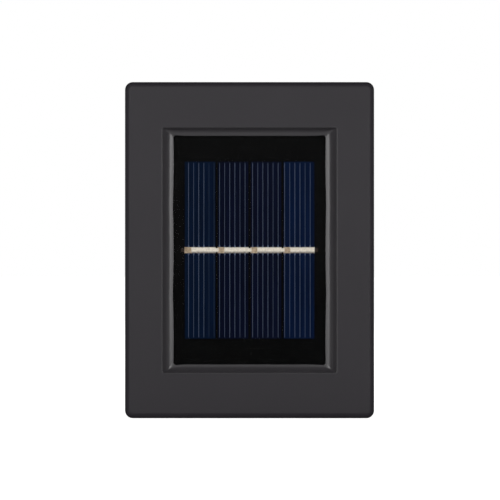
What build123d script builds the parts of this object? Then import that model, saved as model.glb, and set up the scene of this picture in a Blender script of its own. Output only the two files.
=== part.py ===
from build123d import *
import os
from math import cos, pi, radians, sin, tan

# Solar fence light that shines up and down the fence it hangs on. A moulded housing carries a solar
# panel behind a bevelled window in its front, and a clear lens in its top and in its bottom. A back cover
# with two keyholes closes it. The battery, the circuit board and the push switch hang on that cover.
#
# Lengths are in millimetres. The origin is the middle of the back face, which lies on the fence. X is to
# the right as the front is seen and Z is up. Most sizes along Y are depths: a depth of 10 is the plane
# 10 mm in front of the fence, at Y = -10, and the front face is at a depth of body_depth.

# ---------------------------------------------------------------- driving dimensions

# Housing
body_width = 83.0
body_height = 112.0
body_depth = 45.0
corner_radius = 2.6           # corners of the front view
front_edge_radius = 1.7       # rounding round the front face
side_wall = 2.6
front_wall = 2.4
cavity_corner = 1.0           # inside corners, along the depth
rib_thickness = 1.2
rib_height = 2.5
rib_spacing = 30.0
rib_rows = 3

# Bevelled window in the front
window_width = 51.2
window_height = 76.3
window_corner = 0.9
bezel_side = 3.35             # bezel width left and right of the window
bezel_end = 2.6               # bezel width above and below the window
bezel_corner = 0.6
bezel_step = 0.95             # run of the steep outer step
bezel_step_drop = 0.8
bezel_drop = 1.9              # whole depth of the bezel

# Solar panel, pressed from behind against the window's rim
panel_overlap = 1.9           # panel hidden behind the rim on each side
panel_fit = 0.2
panel_rib_height = 3.6
seal_thickness = 0.5
seal_inset = 0.3              # the seal stays this far back from the window's edge
encapsulant_thickness = 1.1
panel_board_thickness = 1.2
cell_count = 4
cell_pitch = 11.0
cell_width = 10.4
cell_height = 59.0
cell_thickness = 0.2
ribbon_width = 2.0
ribbon_neck = 1.3             # ribbon width where it bridges two cells
ribbon_lap = 0.4              # ribbon on the edge of the next cell
ribbon_thickness = 0.15
ribbon_start = 2.3            # bare busbar left of each ribbon
end_tab_length = 1.2

# Light windows in the top and the bottom
light_length = 46.0
light_width = 18.0
light_depth = 22.0            # middle of the window, from the fence
light_corner = 2.0
lens_fit = 0.1
lens_recess = 0.3             # lens below the housing's surface
lens_flange = 2.2             # flange beyond the window
lens_flange_thickness = 1.2
lens_crown = 2.4              # bulge on the inner side
lens_crown_side = 2.2         # flat rim beside the bulge
lens_crown_end = 4.5          # flat rim at each end of the bulge
rail_thickness = 1.2
rail_height = 5.0

# Reflectors and the boards with the light-emitting diodes
reflector_height = 10.4
reflector_wall = 1.3
reflector_rim = 1.2
reflector_mouth_margin = 0.8  # mouth inside the window's outline
throat_length = 26.0
throat_width = 8.0
led_board_thickness = 1.0
led_board_margin = 4.0        # board beyond the throat at each end
led_board_side = 2.2          # board beyond the throat at each side
peg_size = 1.6
peg_fit = 0.1
led_length = 3.5
led_width = 2.8
led_height = 0.9
led_cup_depth = 0.6
led_cup_rim = 0.35            # wall of the cup at its mouth
led_cup_slope = 0.25          # how much further in each wall reaches at the floor
led_spacing = 14.0
led_count = 2
resistor_length = 2.0
resistor_width = 1.25
resistor_height = 0.5

# Back cover
cover_thickness = 2.4
cover_proud = 0.4             # cover stands out behind the housing's rim
cover_fit = 0.2
cover_edge = 0.3
rim_skin = 1.2                # housing wall outside the cover
gasket_thickness = 0.8
gasket_fit = 0.15
tongue_thickness = 1.4
tongue_height = 3.0
tongue_fit = 0.3
pad_height = 2.4
boss_diameter = 6.4
boss_inset = 6.2              # boss middle from the outside of the housing
web_thickness = 1.6

# Keyholes, closed behind so that no water comes in
keyhole_spacing = 44.0
keyhole_z = 31.0              # middle of the round entry
keyhole_entry = 8.0
keyhole_slot = 4.2
keyhole_travel = 7.0
pocket_width = 8.8
pocket_depth = 4.0
pocket_wall = 1.4

# Screws
cover_screw = 2.6
cover_screw_length = 10.0
cover_head = 4.8
cover_head_height = 1.8
cover_head_sunk = 0.4         # head below the cover's face
head_fit = 0.3
board_screw = 2.2
board_screw_length = 7.0
board_head = 4.0
board_head_height = 1.4
thread_fit = 0.05
pilot_spare = 1.0             # pilot hole beyond the screw's end
recess_width = 0.7
recess_share = 0.62           # cross recess, as a share of the head's diameter
recess_depth = 0.8
shank_sides = 8               # flats of a shank and of its lobed pilot hole

# Circuit board
board_width = 46.0
board_height = 26.0
board_thickness = 1.6
board_corner = 1.0
board_z = 10.0
board_boss = 5.5
board_boss_spacing = 39.0

# Parts on the circuit board
chip_width = 3.9
chip_length = 4.9
chip_height = 1.5
chip_leg = 1.0
chip_leg_width = 0.45
chip_leg_pitch = 1.27
chip_x = 13.5
chip_above = 6.0              # above the middle of the board
inductor_size = 6.0
inductor_corner = 1.2
inductor_height = 3.8
inductor_core = 4.6
inductor_core_height = 0.4
inductor_x = -14.0
capacitor_diameter = 5.0
capacitor_height = 5.4
capacitor_base = 1.0
capacitor_x = 2.0

# Push switch and its button
switch_size = 8.5
switch_height = 7.0
switch_lid = 0.8
switch_floor = 0.6
switch_wall = 2.25
switch_post = 3.0             # square post of the plunger
switch_gap = 0.1
switch_foot = 1.0
switch_spigot = 1.6
switch_spigot_length = 2.0
button_travel = 1.5
cap_clear = 1.5               # left between the pressed cap and the switch
spring_wire = 0.35
spring_diameter = 2.9
spring_turns = 3
pin_width = 0.8
pin_thickness = 0.4
pin_pitch = 2.5
pin_row = 5.0
pin_length = 3.2
pin_fit = 0.1
cap_diameter = 5.4
cap_length = 3.1
cap_socket = 1.5
boot_head = 8.0
boot_sunk = 0.6               # button below the back face
boot_gap = 0.3
boot_top = 1.2
boot_edge = 0.7
boot_web = 0.5
boot_web_width = 1.0
boot_flange = 2.0
boot_flange_thickness = 1.2
retainer_thickness = 1.4
well_diameter = 16.0
well_depth = 1.2
ring_wall = 1.4

# Battery and its holder
battery_diameter = 14.2
battery_length = 48.2
battery_nub = 5.5
battery_nub_length = 1.3
battery_bevel = 0.5
battery_z = -25.0
tape_thickness = 1.2          # foam tape under the holder
tape_margin = 1.5
holder_floor = 1.8
holder_wall = 1.5
holder_end = 1.6
holder_fit = 0.3
holder_lip = 2.0              # cradle past the battery's middle
contact_thickness = 0.4
contact_width = 10.0
contact_fit = 0.1
tab_width = 3.0
tab_length = 4.6
coil_length = 5.0
coil_wire = 0.7
coil_base = 8.0
coil_tip = 5.0
coil_turns = 3
wire_sides = 4                # flats of a spring's wire

# Insulated leads
lead_diameter = 1.2
lead_sides = 6                # flats of a single lead
twin_width = 2.4              # flat lead with two cores
pad_reach = 10.4              # pads this far from the middle of the board
panel_lead_x = -13.0
panel_pad_z = -16.0
panel_board_pad = 5.6         # the panel's pads, below the middle of the board
top_lead_x = -6.0
bottom_lead_x = 8.0
bottom_pad_offset = 3.6       # pad in front of the diodes
battery_lead_x = 20.0

# Turns of the leads, as steps (x, depth, z): on leaving their first pad, and on arriving at the board
panel_leaving = [(0, -3.6, 0), (0, -8.0, 5.0)]
panel_arriving = [(0, 9.0, -4.0), (0, 4.4, 0)]
top_leaving = [(0, 0, -3.6), (0, 2.6, -8.4)]
top_arriving = [(0, 7.6, 3.6), (0, 4.4, 0)]
bottom_leaving = [(0, 0, 7.0), (0, 1.4, 20.0)]
bottom_arriving = [(0, 8.6, -6.4), (0, 4.4, 0)]
battery_leaving = [(3.4, 0, 0), (6.2, 3.6, 6.0)]
battery_arriving = [(8.0, 8.4, -8.0), (0, 4.4, 0)]

# ---------------------------------------------------------------- sizes that follow

rim_depth = cover_proud
front_inner = body_depth - front_wall
ledge_depth = cover_thickness + gasket_thickness
cavity_width = body_width - 2 * side_wall
cavity_height = body_height - 2 * side_wall
rebate_width = body_width - 2 * rim_skin
rebate_height = body_height - 2 * rim_skin
rebate_corner = corner_radius - rim_skin
cover_width = rebate_width - 2 * cover_fit
cover_height = rebate_height - 2 * cover_fit

boss_x = body_width / 2 - boss_inset
boss_z = body_height / 2 - boss_inset
boss_top = cover_thickness + pad_height
head_seat = cover_head_sunk + cover_head_height
pilot_end = head_seat + cover_screw_length + pilot_spare

panel_width = window_width + 2 * panel_overlap
panel_height = window_height + 2 * panel_overlap
panel_front = front_inner - seal_thickness
panel_board_front = panel_front - encapsulant_thickness
panel_board_back = panel_board_front - panel_board_thickness
cell_front = panel_board_front + cell_thickness

top_inner = body_height / 2 - side_wall
lens_length = light_length - 2 * lens_fit
lens_width = light_width - 2 * lens_fit
flange_length = light_length + 2 * lens_flange
flange_width = light_width + 2 * lens_flange
flange_low = top_inner - lens_flange_thickness
rail_x = flange_length / 2 + lens_fit + rail_thickness / 2
throat_z = flange_low - reflector_height
led_board_length = throat_length + 2 * led_board_margin
led_board_width = throat_width + 2 * led_board_side
led_board_low = throat_z - led_board_thickness
peg_x = (throat_length + led_board_length) / 4

post_reach = cap_socket + cap_clear + button_travel
board_back = boot_sunk + boot_top + switch_gap + cap_length - cap_socket + post_reach + switch_height
board_front = board_back + board_thickness
button_z = board_z

boot_radius = boot_head / 2 + boot_web_width + boot_flange
ring_radius = boot_radius + switch_gap
boot_flange_front = cover_thickness + boot_flange_thickness
retainer_front = boot_flange_front + retainer_thickness
cap_back = boot_sunk + boot_top + switch_gap
post_back = cap_back + cap_length - cap_socket
switch_back = board_back - switch_height
foot_back = switch_back + switch_lid + switch_gap
foot_front = foot_back + switch_foot
foot_size = switch_size - 2 * (switch_wall + switch_gap)
spring_front = board_back - switch_floor

holder_back = cover_thickness + tape_thickness
holder_seat = holder_back + holder_floor
battery_depth = holder_seat + holder_fit + battery_diameter / 2
battery_all = battery_length + battery_nub_length
holder_inside = battery_all + coil_length + 2 * (contact_thickness + contact_fit)
holder_length = holder_inside + 2 * holder_end
holder_width = battery_diameter + 2 * (holder_fit + holder_wall)
holder_top = battery_depth + holder_lip
contact_x = holder_inside / 2 - contact_fit
positive_end = contact_x - contact_thickness

# ---------------------------------------------------------------- building helpers


def slab(outline, near, far):
    """Solid of an outline drawn as the front is seen, between two depths."""
    return extrude(Plane.XZ.offset(near) * outline, far - near)


def tier(outline, low, high):
    """Solid of an outline drawn in plan round the middle of a light window, between two heights."""
    return extrude(Plane((0, -light_depth, low)) * outline, high - low)


def flared(low_length, low_width, high_length, high_width, low, high):
    """Flat-sided solid that widens upwards, round the middle of a light window."""
    front = Polygon((-low_length / 2, low), (low_length / 2, low), (high_length / 2, high),
                    (-high_length / 2, high), align=None)
    side = Polygon((-low_width / 2, low), (low_width / 2, low), (high_width / 2, high),
                   (-high_width / 2, high), align=None)
    centre = (0, -light_depth, 0)
    along_y = extrude(Plane(centre, x_dir=(1, 0, 0), z_dir=(0, -1, 0)) * front, high_width, both=True)
    along_x = extrude(Plane(centre, x_dir=(0, 1, 0), z_dir=(1, 0, 0)) * side, high_length, both=True)
    return along_y & along_x


def both_sides(piece):
    return piece + mirror(piece, Plane.YZ)


def four_corners(piece):
    pair = both_sides(piece)
    return pair + mirror(pair, Plane.XY)


def in_line(count, pitch):
    """Places of a row that is centred on zero."""
    return [(i - (count - 1) / 2) * pitch for i in range(count)]


def screw(x, z, seat, head, head_height, shank, length, side):
    """Cheese-head screw with a cross recess. Its head lies on the side (1 front, -1 back) of its seat."""
    far = seat + side * head_height
    top = min(seat, far)
    body = slab(Pos(x, z) * Circle(head / 2), top, top + head_height)
    end = seat - side * length
    body += slab(Pos(x, z) * RegularPolygon(shank / 2, shank_sides), min(seat, end), max(seat, end))
    arm = Rectangle(head * recess_share, recess_width)
    cross = Pos(x, z) * (arm + Rot(0, 0, 90) * arm)
    return body - slab(cross, min(far, far - side * recess_depth), max(far, far - side * recess_depth))


def coil(start_radius, end_radius, length, turns, wire):
    """Coil spring along +Z from the origin: one unbroken wire, on quarter-turn arcs tangent to each other."""
    steps = 4 * turns
    centre_length = length - wire

    def place(step):
        share = step / steps
        radius = start_radius + (end_radius - start_radius) * share
        turn = pi / 2 * step
        return Vector(radius * cos(turn), radius * sin(turn), wire / 2 + centre_length * share)

    rise = centre_length / (turns * 2 * pi * start_radius)
    edges = [Edge.make_tangent_arc(place(0), Vector(0, 1, rise), place(1))]
    for step in range(1, steps):
        edges.append(Edge.make_tangent_arc(place(step), edges[-1] % 1, place(step + 1)))
    path = Wire(edges)
    start = Plane(place(0), x_dir=(1, 0, 0), z_dir=path % 0)
    return sweep(start * RegularPolygon(wire / 2, wire_sides), path=path)


def place(x, depth, z):
    return Vector(x, -depth, z)


def lead(name, start, leaving, arriving, end, section, across):
    """Insulated lead in straight runs joined by tangent arcs. Its turns are steps (x, depth, z), those on
    leaving from its start and those on arriving from its end. Across is the direction of its width."""
    points = [start] + [start + place(*step) for step in leaving]
    points += [end + place(*step) for step in arriving] + [end]
    runs = [after - before for before, after in zip(points, points[1:])]
    radii = []
    for before, after in zip(runs, runs[1:]):
        half_turn = radians(before.get_angle(after)) / 2
        radii.append(0.45 * min(before.length, after.length) / tan(half_turn))
    path = FilletPolyline(*points, radius=radii)
    print(f"{name} lead: length {path.length:.1f}, tightest bend {min(radii):.1f}")
    return sweep(Plane(start, x_dir=across, z_dir=runs[0]) * section, path=path)


# ---------------------------------------------------------------- housing


def bezel_cut():
    """Two bevels round the window: a steep step, then a long slope down to the window's rim."""
    width = window_width + 2 * bezel_side
    height = window_height + 2 * bezel_end
    outer = RectangleRounded(width, height, bezel_corner)
    middle = RectangleRounded(width - 2 * bezel_step, height - 2 * bezel_step, bezel_corner)
    inner = RectangleRounded(window_width, window_height, window_corner)
    step_plane = Plane.XZ.offset(body_depth - bezel_step_drop)
    step = loft([Plane.XZ.offset(body_depth) * outer, step_plane * middle], ruled=True)
    slope = loft([step_plane * middle, Plane.XZ.offset(body_depth - bezel_drop) * inner], ruled=True)
    return step + slope + slab(inner, front_inner, body_depth - bezel_drop)


def screw_boss():
    """One corner boss of the housing, tied to both walls, in the top right corner."""
    post = slab(Pos(boss_x, boss_z) * Circle(boss_diameter / 2), boss_top, front_inner)
    to_side = Rectangle(cavity_width / 2 - boss_x, web_thickness, align=(Align.MIN, Align.CENTER))
    to_top = Rectangle(web_thickness, cavity_height / 2 - boss_z, align=(Align.CENTER, Align.MIN))
    webs = Pos(boss_x, boss_z) * (to_side + to_top)
    return post + slab(webs, boss_top, front_inner)


def front_housing():
    body = slab(RectangleRounded(body_width, body_height, corner_radius), rim_depth, body_depth)
    body = fillet(body.faces().sort_by(Axis.Y)[0].edges(), front_edge_radius)
    cavity = slab(RectangleRounded(cavity_width, cavity_height, cavity_corner), rim_depth, front_inner)
    rebate = slab(RectangleRounded(rebate_width, rebate_height, rebate_corner), rim_depth, ledge_depth)
    shell = body - cavity - rebate

    rib_root = boss_top + tongue_height
    for z in in_line(rib_rows, rib_spacing):
        rib = Rectangle(rib_height, rib_thickness, align=(Align.MAX, Align.CENTER))
        shell += both_sides(slab(Pos(cavity_width / 2, z) * rib, rib_root, front_inner))
    frame_width = panel_width + 2 * (panel_fit + rib_thickness)
    frame_height = panel_height + 2 * (panel_fit + rib_thickness)
    frame = Rectangle(frame_width, frame_height)
    frame -= Rectangle(panel_width + 2 * panel_fit, panel_height + 2 * panel_fit)
    shell += slab(frame, front_inner - panel_rib_height, front_inner)
    rail = Pos(rail_x, top_inner) * Rectangle(rail_thickness, rail_height, align=(Align.CENTER, Align.MAX))
    shell += four_corners(slab(rail, rib_root, front_inner))
    shell += four_corners(screw_boss())

    pilot = Pos(boss_x, boss_z) * RegularPolygon(cover_screw / 2 + thread_fit, shank_sides)
    shell -= four_corners(slab(pilot, boss_top, pilot_end))
    shell -= bezel_cut()
    light = RectangleRounded(light_length, light_width, light_corner)
    for low in (top_inner, -body_height / 2):
        shell -= tier(light, low, low + side_wall)
    return shell


# ---------------------------------------------------------------- solar panel


def panel_seal():
    outline = Rectangle(panel_width, panel_height)
    hole = Rectangle(window_width + 2 * seal_inset, window_height + 2 * seal_inset)
    return slab(outline - hole, panel_front, front_inner)


def panel_board():
    return slab(Rectangle(panel_width, panel_height), panel_board_back, panel_board_front)


def solar_cell(x):
    return slab(Pos(x, 0) * Rectangle(cell_width, cell_height), panel_board_front, cell_front)


def cell_ribbons():
    """One ribbon on each cell, narrowed where it bridges to the next, and a tab at each end of the row."""
    places = in_line(cell_count, cell_pitch)
    top = cell_front + ribbon_thickness
    ribbons = []
    for x in places:
        left = x - cell_width / 2 + ribbon_start
        right = x + cell_width / 2
        outline = Pos(left, 0) * Rectangle(right - left, ribbon_width, align=(Align.MIN, Align.CENTER))
        if x != places[-1]:
            reach = cell_pitch - cell_width + ribbon_lap
            bridge = Rectangle(reach, ribbon_neck, align=(Align.MIN, Align.CENTER))
            outline += Pos(right, 0) * bridge
        ribbons.append(slab(outline, cell_front, top))
    for side, align in ((-1, Align.MAX), (1, Align.MIN)):
        end = side * (places[-1] + cell_width / 2)
        tab = Pos(end, 0) * Rectangle(end_tab_length, ribbon_neck, align=(align, Align.CENTER))
        ribbons.append(slab(tab, panel_board_front, panel_board_front + ribbon_thickness))
    return ribbons


def panel_encapsulant(embedded):
    """Clear resin over the cells, poured round everything that stands on the panel's board."""
    resin = slab(Rectangle(panel_width, panel_height), panel_board_front, panel_front)
    for piece in embedded:
        resin -= piece
    return resin


# ---------------------------------------------------------------- light windows


def top_lens():
    """Flat outside, with a half-round bulge along its inner side that spreads the light."""
    flange = tier(Rectangle(flange_length, flange_width), flange_low, top_inner)
    plate = tier(RectangleRounded(lens_length, lens_width, light_corner), top_inner,
                 body_height / 2 - lens_recess)
    crown_half = light_width / 2 - lens_crown_side
    arc = ThreePointArc((-crown_half, 0), (0, -lens_crown), (crown_half, 0))
    section = make_face(arc + Line((crown_half, 0), (-crown_half, 0)))
    crown_length = light_length - 2 * lens_crown_end
    along_x = Plane((-crown_length / 2, -light_depth, flange_low), x_dir=(0, 1, 0), z_dir=(1, 0, 0))
    return flange + plate + extrude(along_x * section, crown_length)


def top_reflector():
    """Funnel from the lens down to the diodes, with a rim above and a seat for their board below."""
    mouth_length = light_length - 2 * reflector_mouth_margin
    mouth_width = light_width - 2 * reflector_mouth_margin
    grow = 2 * reflector_wall
    outside = flared(throat_length + grow, throat_width + grow, mouth_length + grow, mouth_width + grow,
                     throat_z, flange_low)
    inside = flared(throat_length, throat_width, mouth_length, mouth_width, throat_z, flange_low)
    rim = tier(Rectangle(flange_length, flange_width), flange_low - reflector_rim, flange_low)
    seat = tier(Rectangle(led_board_length, led_board_width), throat_z, throat_z + reflector_rim)
    funnel = outside + rim + seat - inside
    for x in (-peg_x, peg_x):
        funnel += tier(Pos(x, 0) * Rectangle(peg_size, peg_size), led_board_low, throat_z)
    return funnel


def top_led_board():
    board = tier(Rectangle(led_board_length, led_board_width), led_board_low, throat_z)
    hole = Rectangle(peg_size + 2 * peg_fit, peg_size + 2 * peg_fit)
    for x in (-peg_x, peg_x):
        board -= tier(Pos(x, 0) * hole, led_board_low, throat_z)
    return board


def top_leds():
    """Surface-mount diodes: a white cup with a window that narrows downwards."""
    high = throat_z + led_height
    inset = 2 * (led_cup_rim + led_cup_slope)
    cup = flared(led_length - inset, led_width - inset, led_length - 2 * led_cup_rim,
                 led_width - 2 * led_cup_rim, high - led_cup_depth, high)
    package = tier(Rectangle(led_length, led_width), throat_z, high) - cup
    return [Pos(x, 0, 0) * package for x in in_line(led_count, led_spacing)]


def top_led_resistor():
    outline = Pos(led_spacing / 2, 0) * Rectangle(resistor_length, resistor_width)
    return tier(outline, led_board_low - resistor_height, led_board_low)


# ---------------------------------------------------------------- back cover


def keyhole(x):
    """Keyhole through the cover's skin, and the pocket behind it that takes the screw's head."""
    entry = Pos(x, keyhole_z) * Circle(keyhole_entry / 2)
    slot = Pos(x, keyhole_z + keyhole_travel / 2) * Rectangle(keyhole_slot, keyhole_travel)
    end = Pos(x, keyhole_z + keyhole_travel) * Circle(keyhole_slot / 2)
    middle = Pos(x, keyhole_z + keyhole_travel / 2)
    hollow = middle * Rectangle(pocket_width, keyhole_travel + pocket_width)
    wall_width = pocket_width + 2 * pocket_wall
    wall = middle * Rectangle(wall_width, keyhole_travel + wall_width)
    pocket_end = cover_thickness + pocket_depth
    cut = slab(entry + slot + end, 0, cover_thickness) + slab(hollow, cover_thickness, pocket_end)
    return slab(wall, cover_thickness, pocket_end + pocket_wall), cut


def tongue():
    """Straight locating walls of the cover, just inside the housing's walls and clear of the bosses."""
    corner_gap = boss_diameter / 2 + tongue_fit
    along_x = 2 * (boss_x - corner_gap)
    along_z = 2 * (boss_z - corner_gap)
    side_x = cavity_width / 2 - tongue_fit
    side_z = cavity_height / 2 - tongue_fit
    side = Pos(side_x, 0) * Rectangle(tongue_thickness, along_z, align=(Align.MAX, Align.CENTER))
    end = Pos(0, side_z) * Rectangle(along_x, tongue_thickness, align=(Align.CENTER, Align.MAX))
    return four_corners(slab(side + end, cover_thickness, cover_thickness + tongue_height))


def back_cover():
    plate = slab(RectangleRounded(cover_width, cover_height, rebate_corner - cover_fit), 0, cover_thickness)
    plate = chamfer(plate.faces().sort_by(Axis.Y)[-1].edges(), cover_edge)
    cover = plate + tongue()
    pad = Pos(boss_x, boss_z) * Rectangle(boss_diameter, boss_diameter)
    cover += four_corners(slab(pad, cover_thickness, boss_top))
    ring = Pos(0, button_z) * Circle(ring_radius + ring_wall)
    cover += slab(ring, cover_thickness, retainer_front)
    board_post = Pos(board_boss_spacing / 2, board_z) * Circle(board_boss / 2)
    cover += both_sides(slab(board_post, cover_thickness, board_back))
    brace = Pos(board_boss_spacing / 2, board_z) * Rectangle(rib_thickness, board_boss + 2 * rib_height)
    cover += both_sides(slab(brace, cover_thickness, board_back / 2))
    for x in (-keyhole_spacing / 2, keyhole_spacing / 2):
        pocket, cut = keyhole(x)
        cover = cover + pocket - cut

    head = Pos(boss_x, boss_z) * Circle(cover_head / 2 + head_fit)
    hole = Pos(boss_x, boss_z) * Circle(cover_screw / 2 + head_fit)
    cover -= four_corners(slab(head, 0, head_seat) + slab(hole, head_seat, boss_top))
    bore = RegularPolygon(board_screw / 2 + thread_fit, shank_sides)
    board_end = board_front - board_screw_length - pilot_spare
    cover -= both_sides(slab(Pos(board_boss_spacing / 2, board_z) * bore, board_end, board_back))
    well = Pos(0, button_z) * Circle(well_diameter / 2)
    opening = Pos(0, button_z) * Circle(boot_head / 2 + boot_gap)
    seat = Pos(0, button_z) * Circle(ring_radius)
    cover -= slab(well, 0, well_depth) + slab(opening, well_depth, cover_thickness)
    return cover - slab(seat, cover_thickness, retainer_front)


def cover_gasket():
    width = rebate_width - 2 * gasket_fit
    height = rebate_height - 2 * gasket_fit
    inside = RectangleRounded(cavity_width + 2 * gasket_fit, cavity_height + 2 * gasket_fit, cavity_corner)
    outline = RectangleRounded(width, height, rebate_corner - gasket_fit) - inside
    return slab(outline, cover_thickness, ledge_depth)


# ---------------------------------------------------------------- switch and button

def button_boot():
    """Soft cap over the button: a thick head, a thin web that gives way, and a flange held by a ring."""
    centre = Pos(0, button_z)
    web_front = boot_flange_front
    web_back = web_front - boot_web
    head = slab(centre * Circle(boot_head / 2), boot_sunk, web_front)
    head = chamfer(head.faces().sort_by(Axis.Y)[-1].edges(), boot_edge)
    web_radius = boot_head / 2 + boot_web_width
    boot = head + slab(centre * Circle(web_radius), web_back, web_front)
    boot += slab(centre * (Circle(boot_radius) - Circle(web_radius)), cover_thickness, web_front)
    return boot - slab(centre * Circle(cap_diameter / 2 + switch_gap), boot_sunk + boot_top, web_front)


def boot_retainer():
    hole = boot_head / 2 + boot_web_width
    outline = Circle(boot_radius) - Circle(hole)
    return slab(Pos(0, button_z) * outline, boot_flange_front, retainer_front)


def button_cap():
    cap = slab(Pos(0, button_z) * Circle(cap_diameter / 2), cap_back, cap_back + cap_length)
    socket = Pos(0, button_z) * Rectangle(switch_post + switch_gap, switch_post + switch_gap)
    return cap - slab(socket, post_back, cap_back + cap_length)


def switch_plunger():
    centre = Pos(0, button_z)
    post = slab(centre * Rectangle(switch_post, switch_post), post_back, foot_back)
    foot = slab(centre * Rectangle(foot_size, foot_size), foot_back, foot_front)
    spigot = slab(centre * Circle(switch_spigot / 2), foot_front, foot_front + switch_spigot_length)
    return post + foot + spigot


def switch_body():
    centre = Pos(0, button_z)
    body = slab(centre * Rectangle(switch_size, switch_size), switch_back, board_back)
    hole = switch_post + 2 * switch_gap
    chamber = switch_size - 2 * switch_wall
    body -= slab(centre * Rectangle(hole, hole), switch_back, switch_back + switch_lid)
    return body - slab(centre * Rectangle(chamber, chamber), switch_back + switch_lid, spring_front)


def switch_spring():
    length = spring_front - foot_front - switch_gap
    wire = coil(spring_diameter / 2, spring_diameter / 2, length, spring_turns, spring_wire)
    return Plane((0, -foot_front - switch_gap / 2, button_z), x_dir=(1, 0, 0), z_dir=(0, -1, 0)) * wire


def pin_places():
    return [(x, button_z + z) for x in in_line(3, pin_pitch) for z in (-pin_row / 2, pin_row / 2)]


def switch_pins():
    return [slab(Pos(x, z) * Rectangle(pin_width, pin_thickness), board_back, board_back + pin_length)
            for x, z in pin_places()]


# ---------------------------------------------------------------- circuit board


def main_board():
    board = slab(Pos(0, board_z) * RectangleRounded(board_width, board_height, board_corner),
                 board_back, board_front)
    for x in (-board_boss_spacing / 2, board_boss_spacing / 2):
        board -= slab(Pos(x, board_z) * Circle(board_screw / 2 + pin_fit), board_back, board_front)
    for x, z in pin_places():
        slot = Rectangle(pin_width + 2 * pin_fit, pin_thickness + 2 * pin_fit)
        board -= slab(Pos(x, z) * slot, board_back, board_front)
    return board


def controller_chip():
    z = board_z + chip_above
    chip = slab(Pos(chip_x, z) * Rectangle(chip_width, chip_length), board_front + chip_leg_width,
                board_front + chip_height)
    for dz in in_line(4, chip_leg_pitch):
        leg = Pos(chip_x, z + dz) * Rectangle(chip_width + 2 * chip_leg, chip_leg_width)
        chip += slab(leg, board_front, board_front + chip_leg_width)
    return chip


def storage_inductor():
    centre = Pos(inductor_x, board_z + chip_above)
    top = board_front + inductor_height
    shield = slab(centre * Rectangle(inductor_size, inductor_size), board_front, top)
    shield = chamfer(shield.edges().filter_by(Axis.Y), inductor_corner)
    return shield + slab(centre * Circle(inductor_core / 2), top, top + inductor_core_height)


def board_capacitor():
    centre = Pos(capacitor_x, board_z + chip_above + resistor_length)
    base = slab(centre * Rectangle(capacitor_diameter, capacitor_diameter), board_front,
                board_front + capacitor_base)
    return base + slab(centre * Circle(capacitor_diameter / 2), board_front + capacitor_base,
                       board_front + capacitor_height)


def board_resistors():
    outline = Rectangle(resistor_width, resistor_length)
    z = board_z - chip_above / 2
    return [slab(Pos(chip_x + x, z) * outline, board_front, board_front + resistor_height)
            for x in in_line(3, chip_width)]


# ---------------------------------------------------------------- battery


def along_battery(outline, start, end):
    """Solid of an outline round the battery's axis, between two places along X."""
    plane = Plane((start, -battery_depth, battery_z), x_dir=(0, 1, 0), z_dir=(1, 0, 0))
    return extrude(plane * outline, end - start)


def battery_cell():
    """Cell in its sleeve, with the nub of the positive end to the right."""
    right = positive_end - contact_fit
    shoulder = right - battery_nub_length
    body = along_battery(Circle(battery_diameter / 2), shoulder - battery_length, shoulder)
    body = chamfer(body.edges().filter_by(GeomType.CIRCLE), battery_bevel)
    return body + along_battery(Circle(battery_nub / 2), shoulder, right)


def battery_holder():
    """Open cradle whose sides reach past the battery's middle, so that it snaps in."""
    outline = Pos(0, battery_z) * Rectangle(holder_length, holder_width)
    block = slab(outline, holder_back, holder_top)
    hollow = along_battery(Circle(battery_diameter / 2 + holder_fit), -holder_inside / 2, holder_inside / 2)
    mouth = battery_diameter - 2 * holder_fit
    gap = slab(Pos(0, battery_z) * Rectangle(holder_inside, mouth), battery_depth, holder_top)
    holder = block - hollow - gap
    for side in (-1, 1):
        seat = Pos(side * holder_inside / 2, battery_z) * Rectangle(
            2 * (contact_thickness + contact_fit), contact_width + 2 * contact_fit)
        holder -= slab(seat, holder_seat, holder_top)
    return holder


def holder_tape():
    tape = Rectangle(holder_length - 2 * tape_margin, holder_width - 2 * tape_margin)
    return slab(Pos(0, battery_z) * tape, cover_thickness, holder_back)


def contact(side):
    """Stamped contact against an end wall of the holder, with a tab for its lead."""
    x = side * (contact_x - contact_thickness / 2)
    plate = Pos(x, battery_z) * Rectangle(contact_thickness, contact_width)
    tab = Pos(x, battery_z) * Rectangle(contact_thickness, tab_width)
    tab_end = holder_top + tab_length
    return slab(plate, holder_seat + contact_fit, holder_top) + slab(tab, holder_top, tab_end)


def battery_spring():
    """Negative contact with its tapered coil."""
    start = Plane((-positive_end, -battery_depth, battery_z), x_dir=(0, 1, 0), z_dir=(1, 0, 0))
    wire = coil(coil_base / 2, coil_tip / 2, coil_length - contact_fit, coil_turns, coil_wire)
    return [contact(-1), start * wire]


def battery_plate():
    return contact(1)


# ---------------------------------------------------------------- insulated leads


def twin_lead(name, start, leaving, arriving, end):
    """Flat lead with two cores side by side, in a plane across the light."""
    return lead(name, start, leaving, arriving, end, Rectangle(twin_width, lead_diameter), (1, 0, 0))


def panel_leads():
    start = place(panel_lead_x, panel_board_back, panel_pad_z)
    end = place(panel_lead_x, board_front, board_z - panel_board_pad)
    return twin_lead("panel", start, panel_leaving, panel_arriving, end)


def top_led_leads():
    start = place(top_lead_x, light_depth, led_board_low)
    end = place(top_lead_x, board_front, board_z + pad_reach)
    return twin_lead("top", start, top_leaving, top_arriving, end)


def bottom_led_leads():
    start = place(bottom_lead_x, light_depth + bottom_pad_offset, -led_board_low)
    end = place(bottom_lead_x, board_front, board_z - pad_reach)
    return twin_lead("bottom", start, bottom_leaving, bottom_arriving, end)


def battery_leads():
    """One single lead from each contact's tab, out and over to the board."""
    start = place(contact_x, holder_top + tab_length / 2, battery_z)
    end = place(battery_lead_x, board_front, board_z - pad_reach)
    section = RegularPolygon(lead_diameter / 2, lead_sides)
    right = lead("battery", start, battery_leaving, battery_arriving, end, section, (0, 0, 1))
    return [right, mirror(right, Plane.YZ)]


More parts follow.
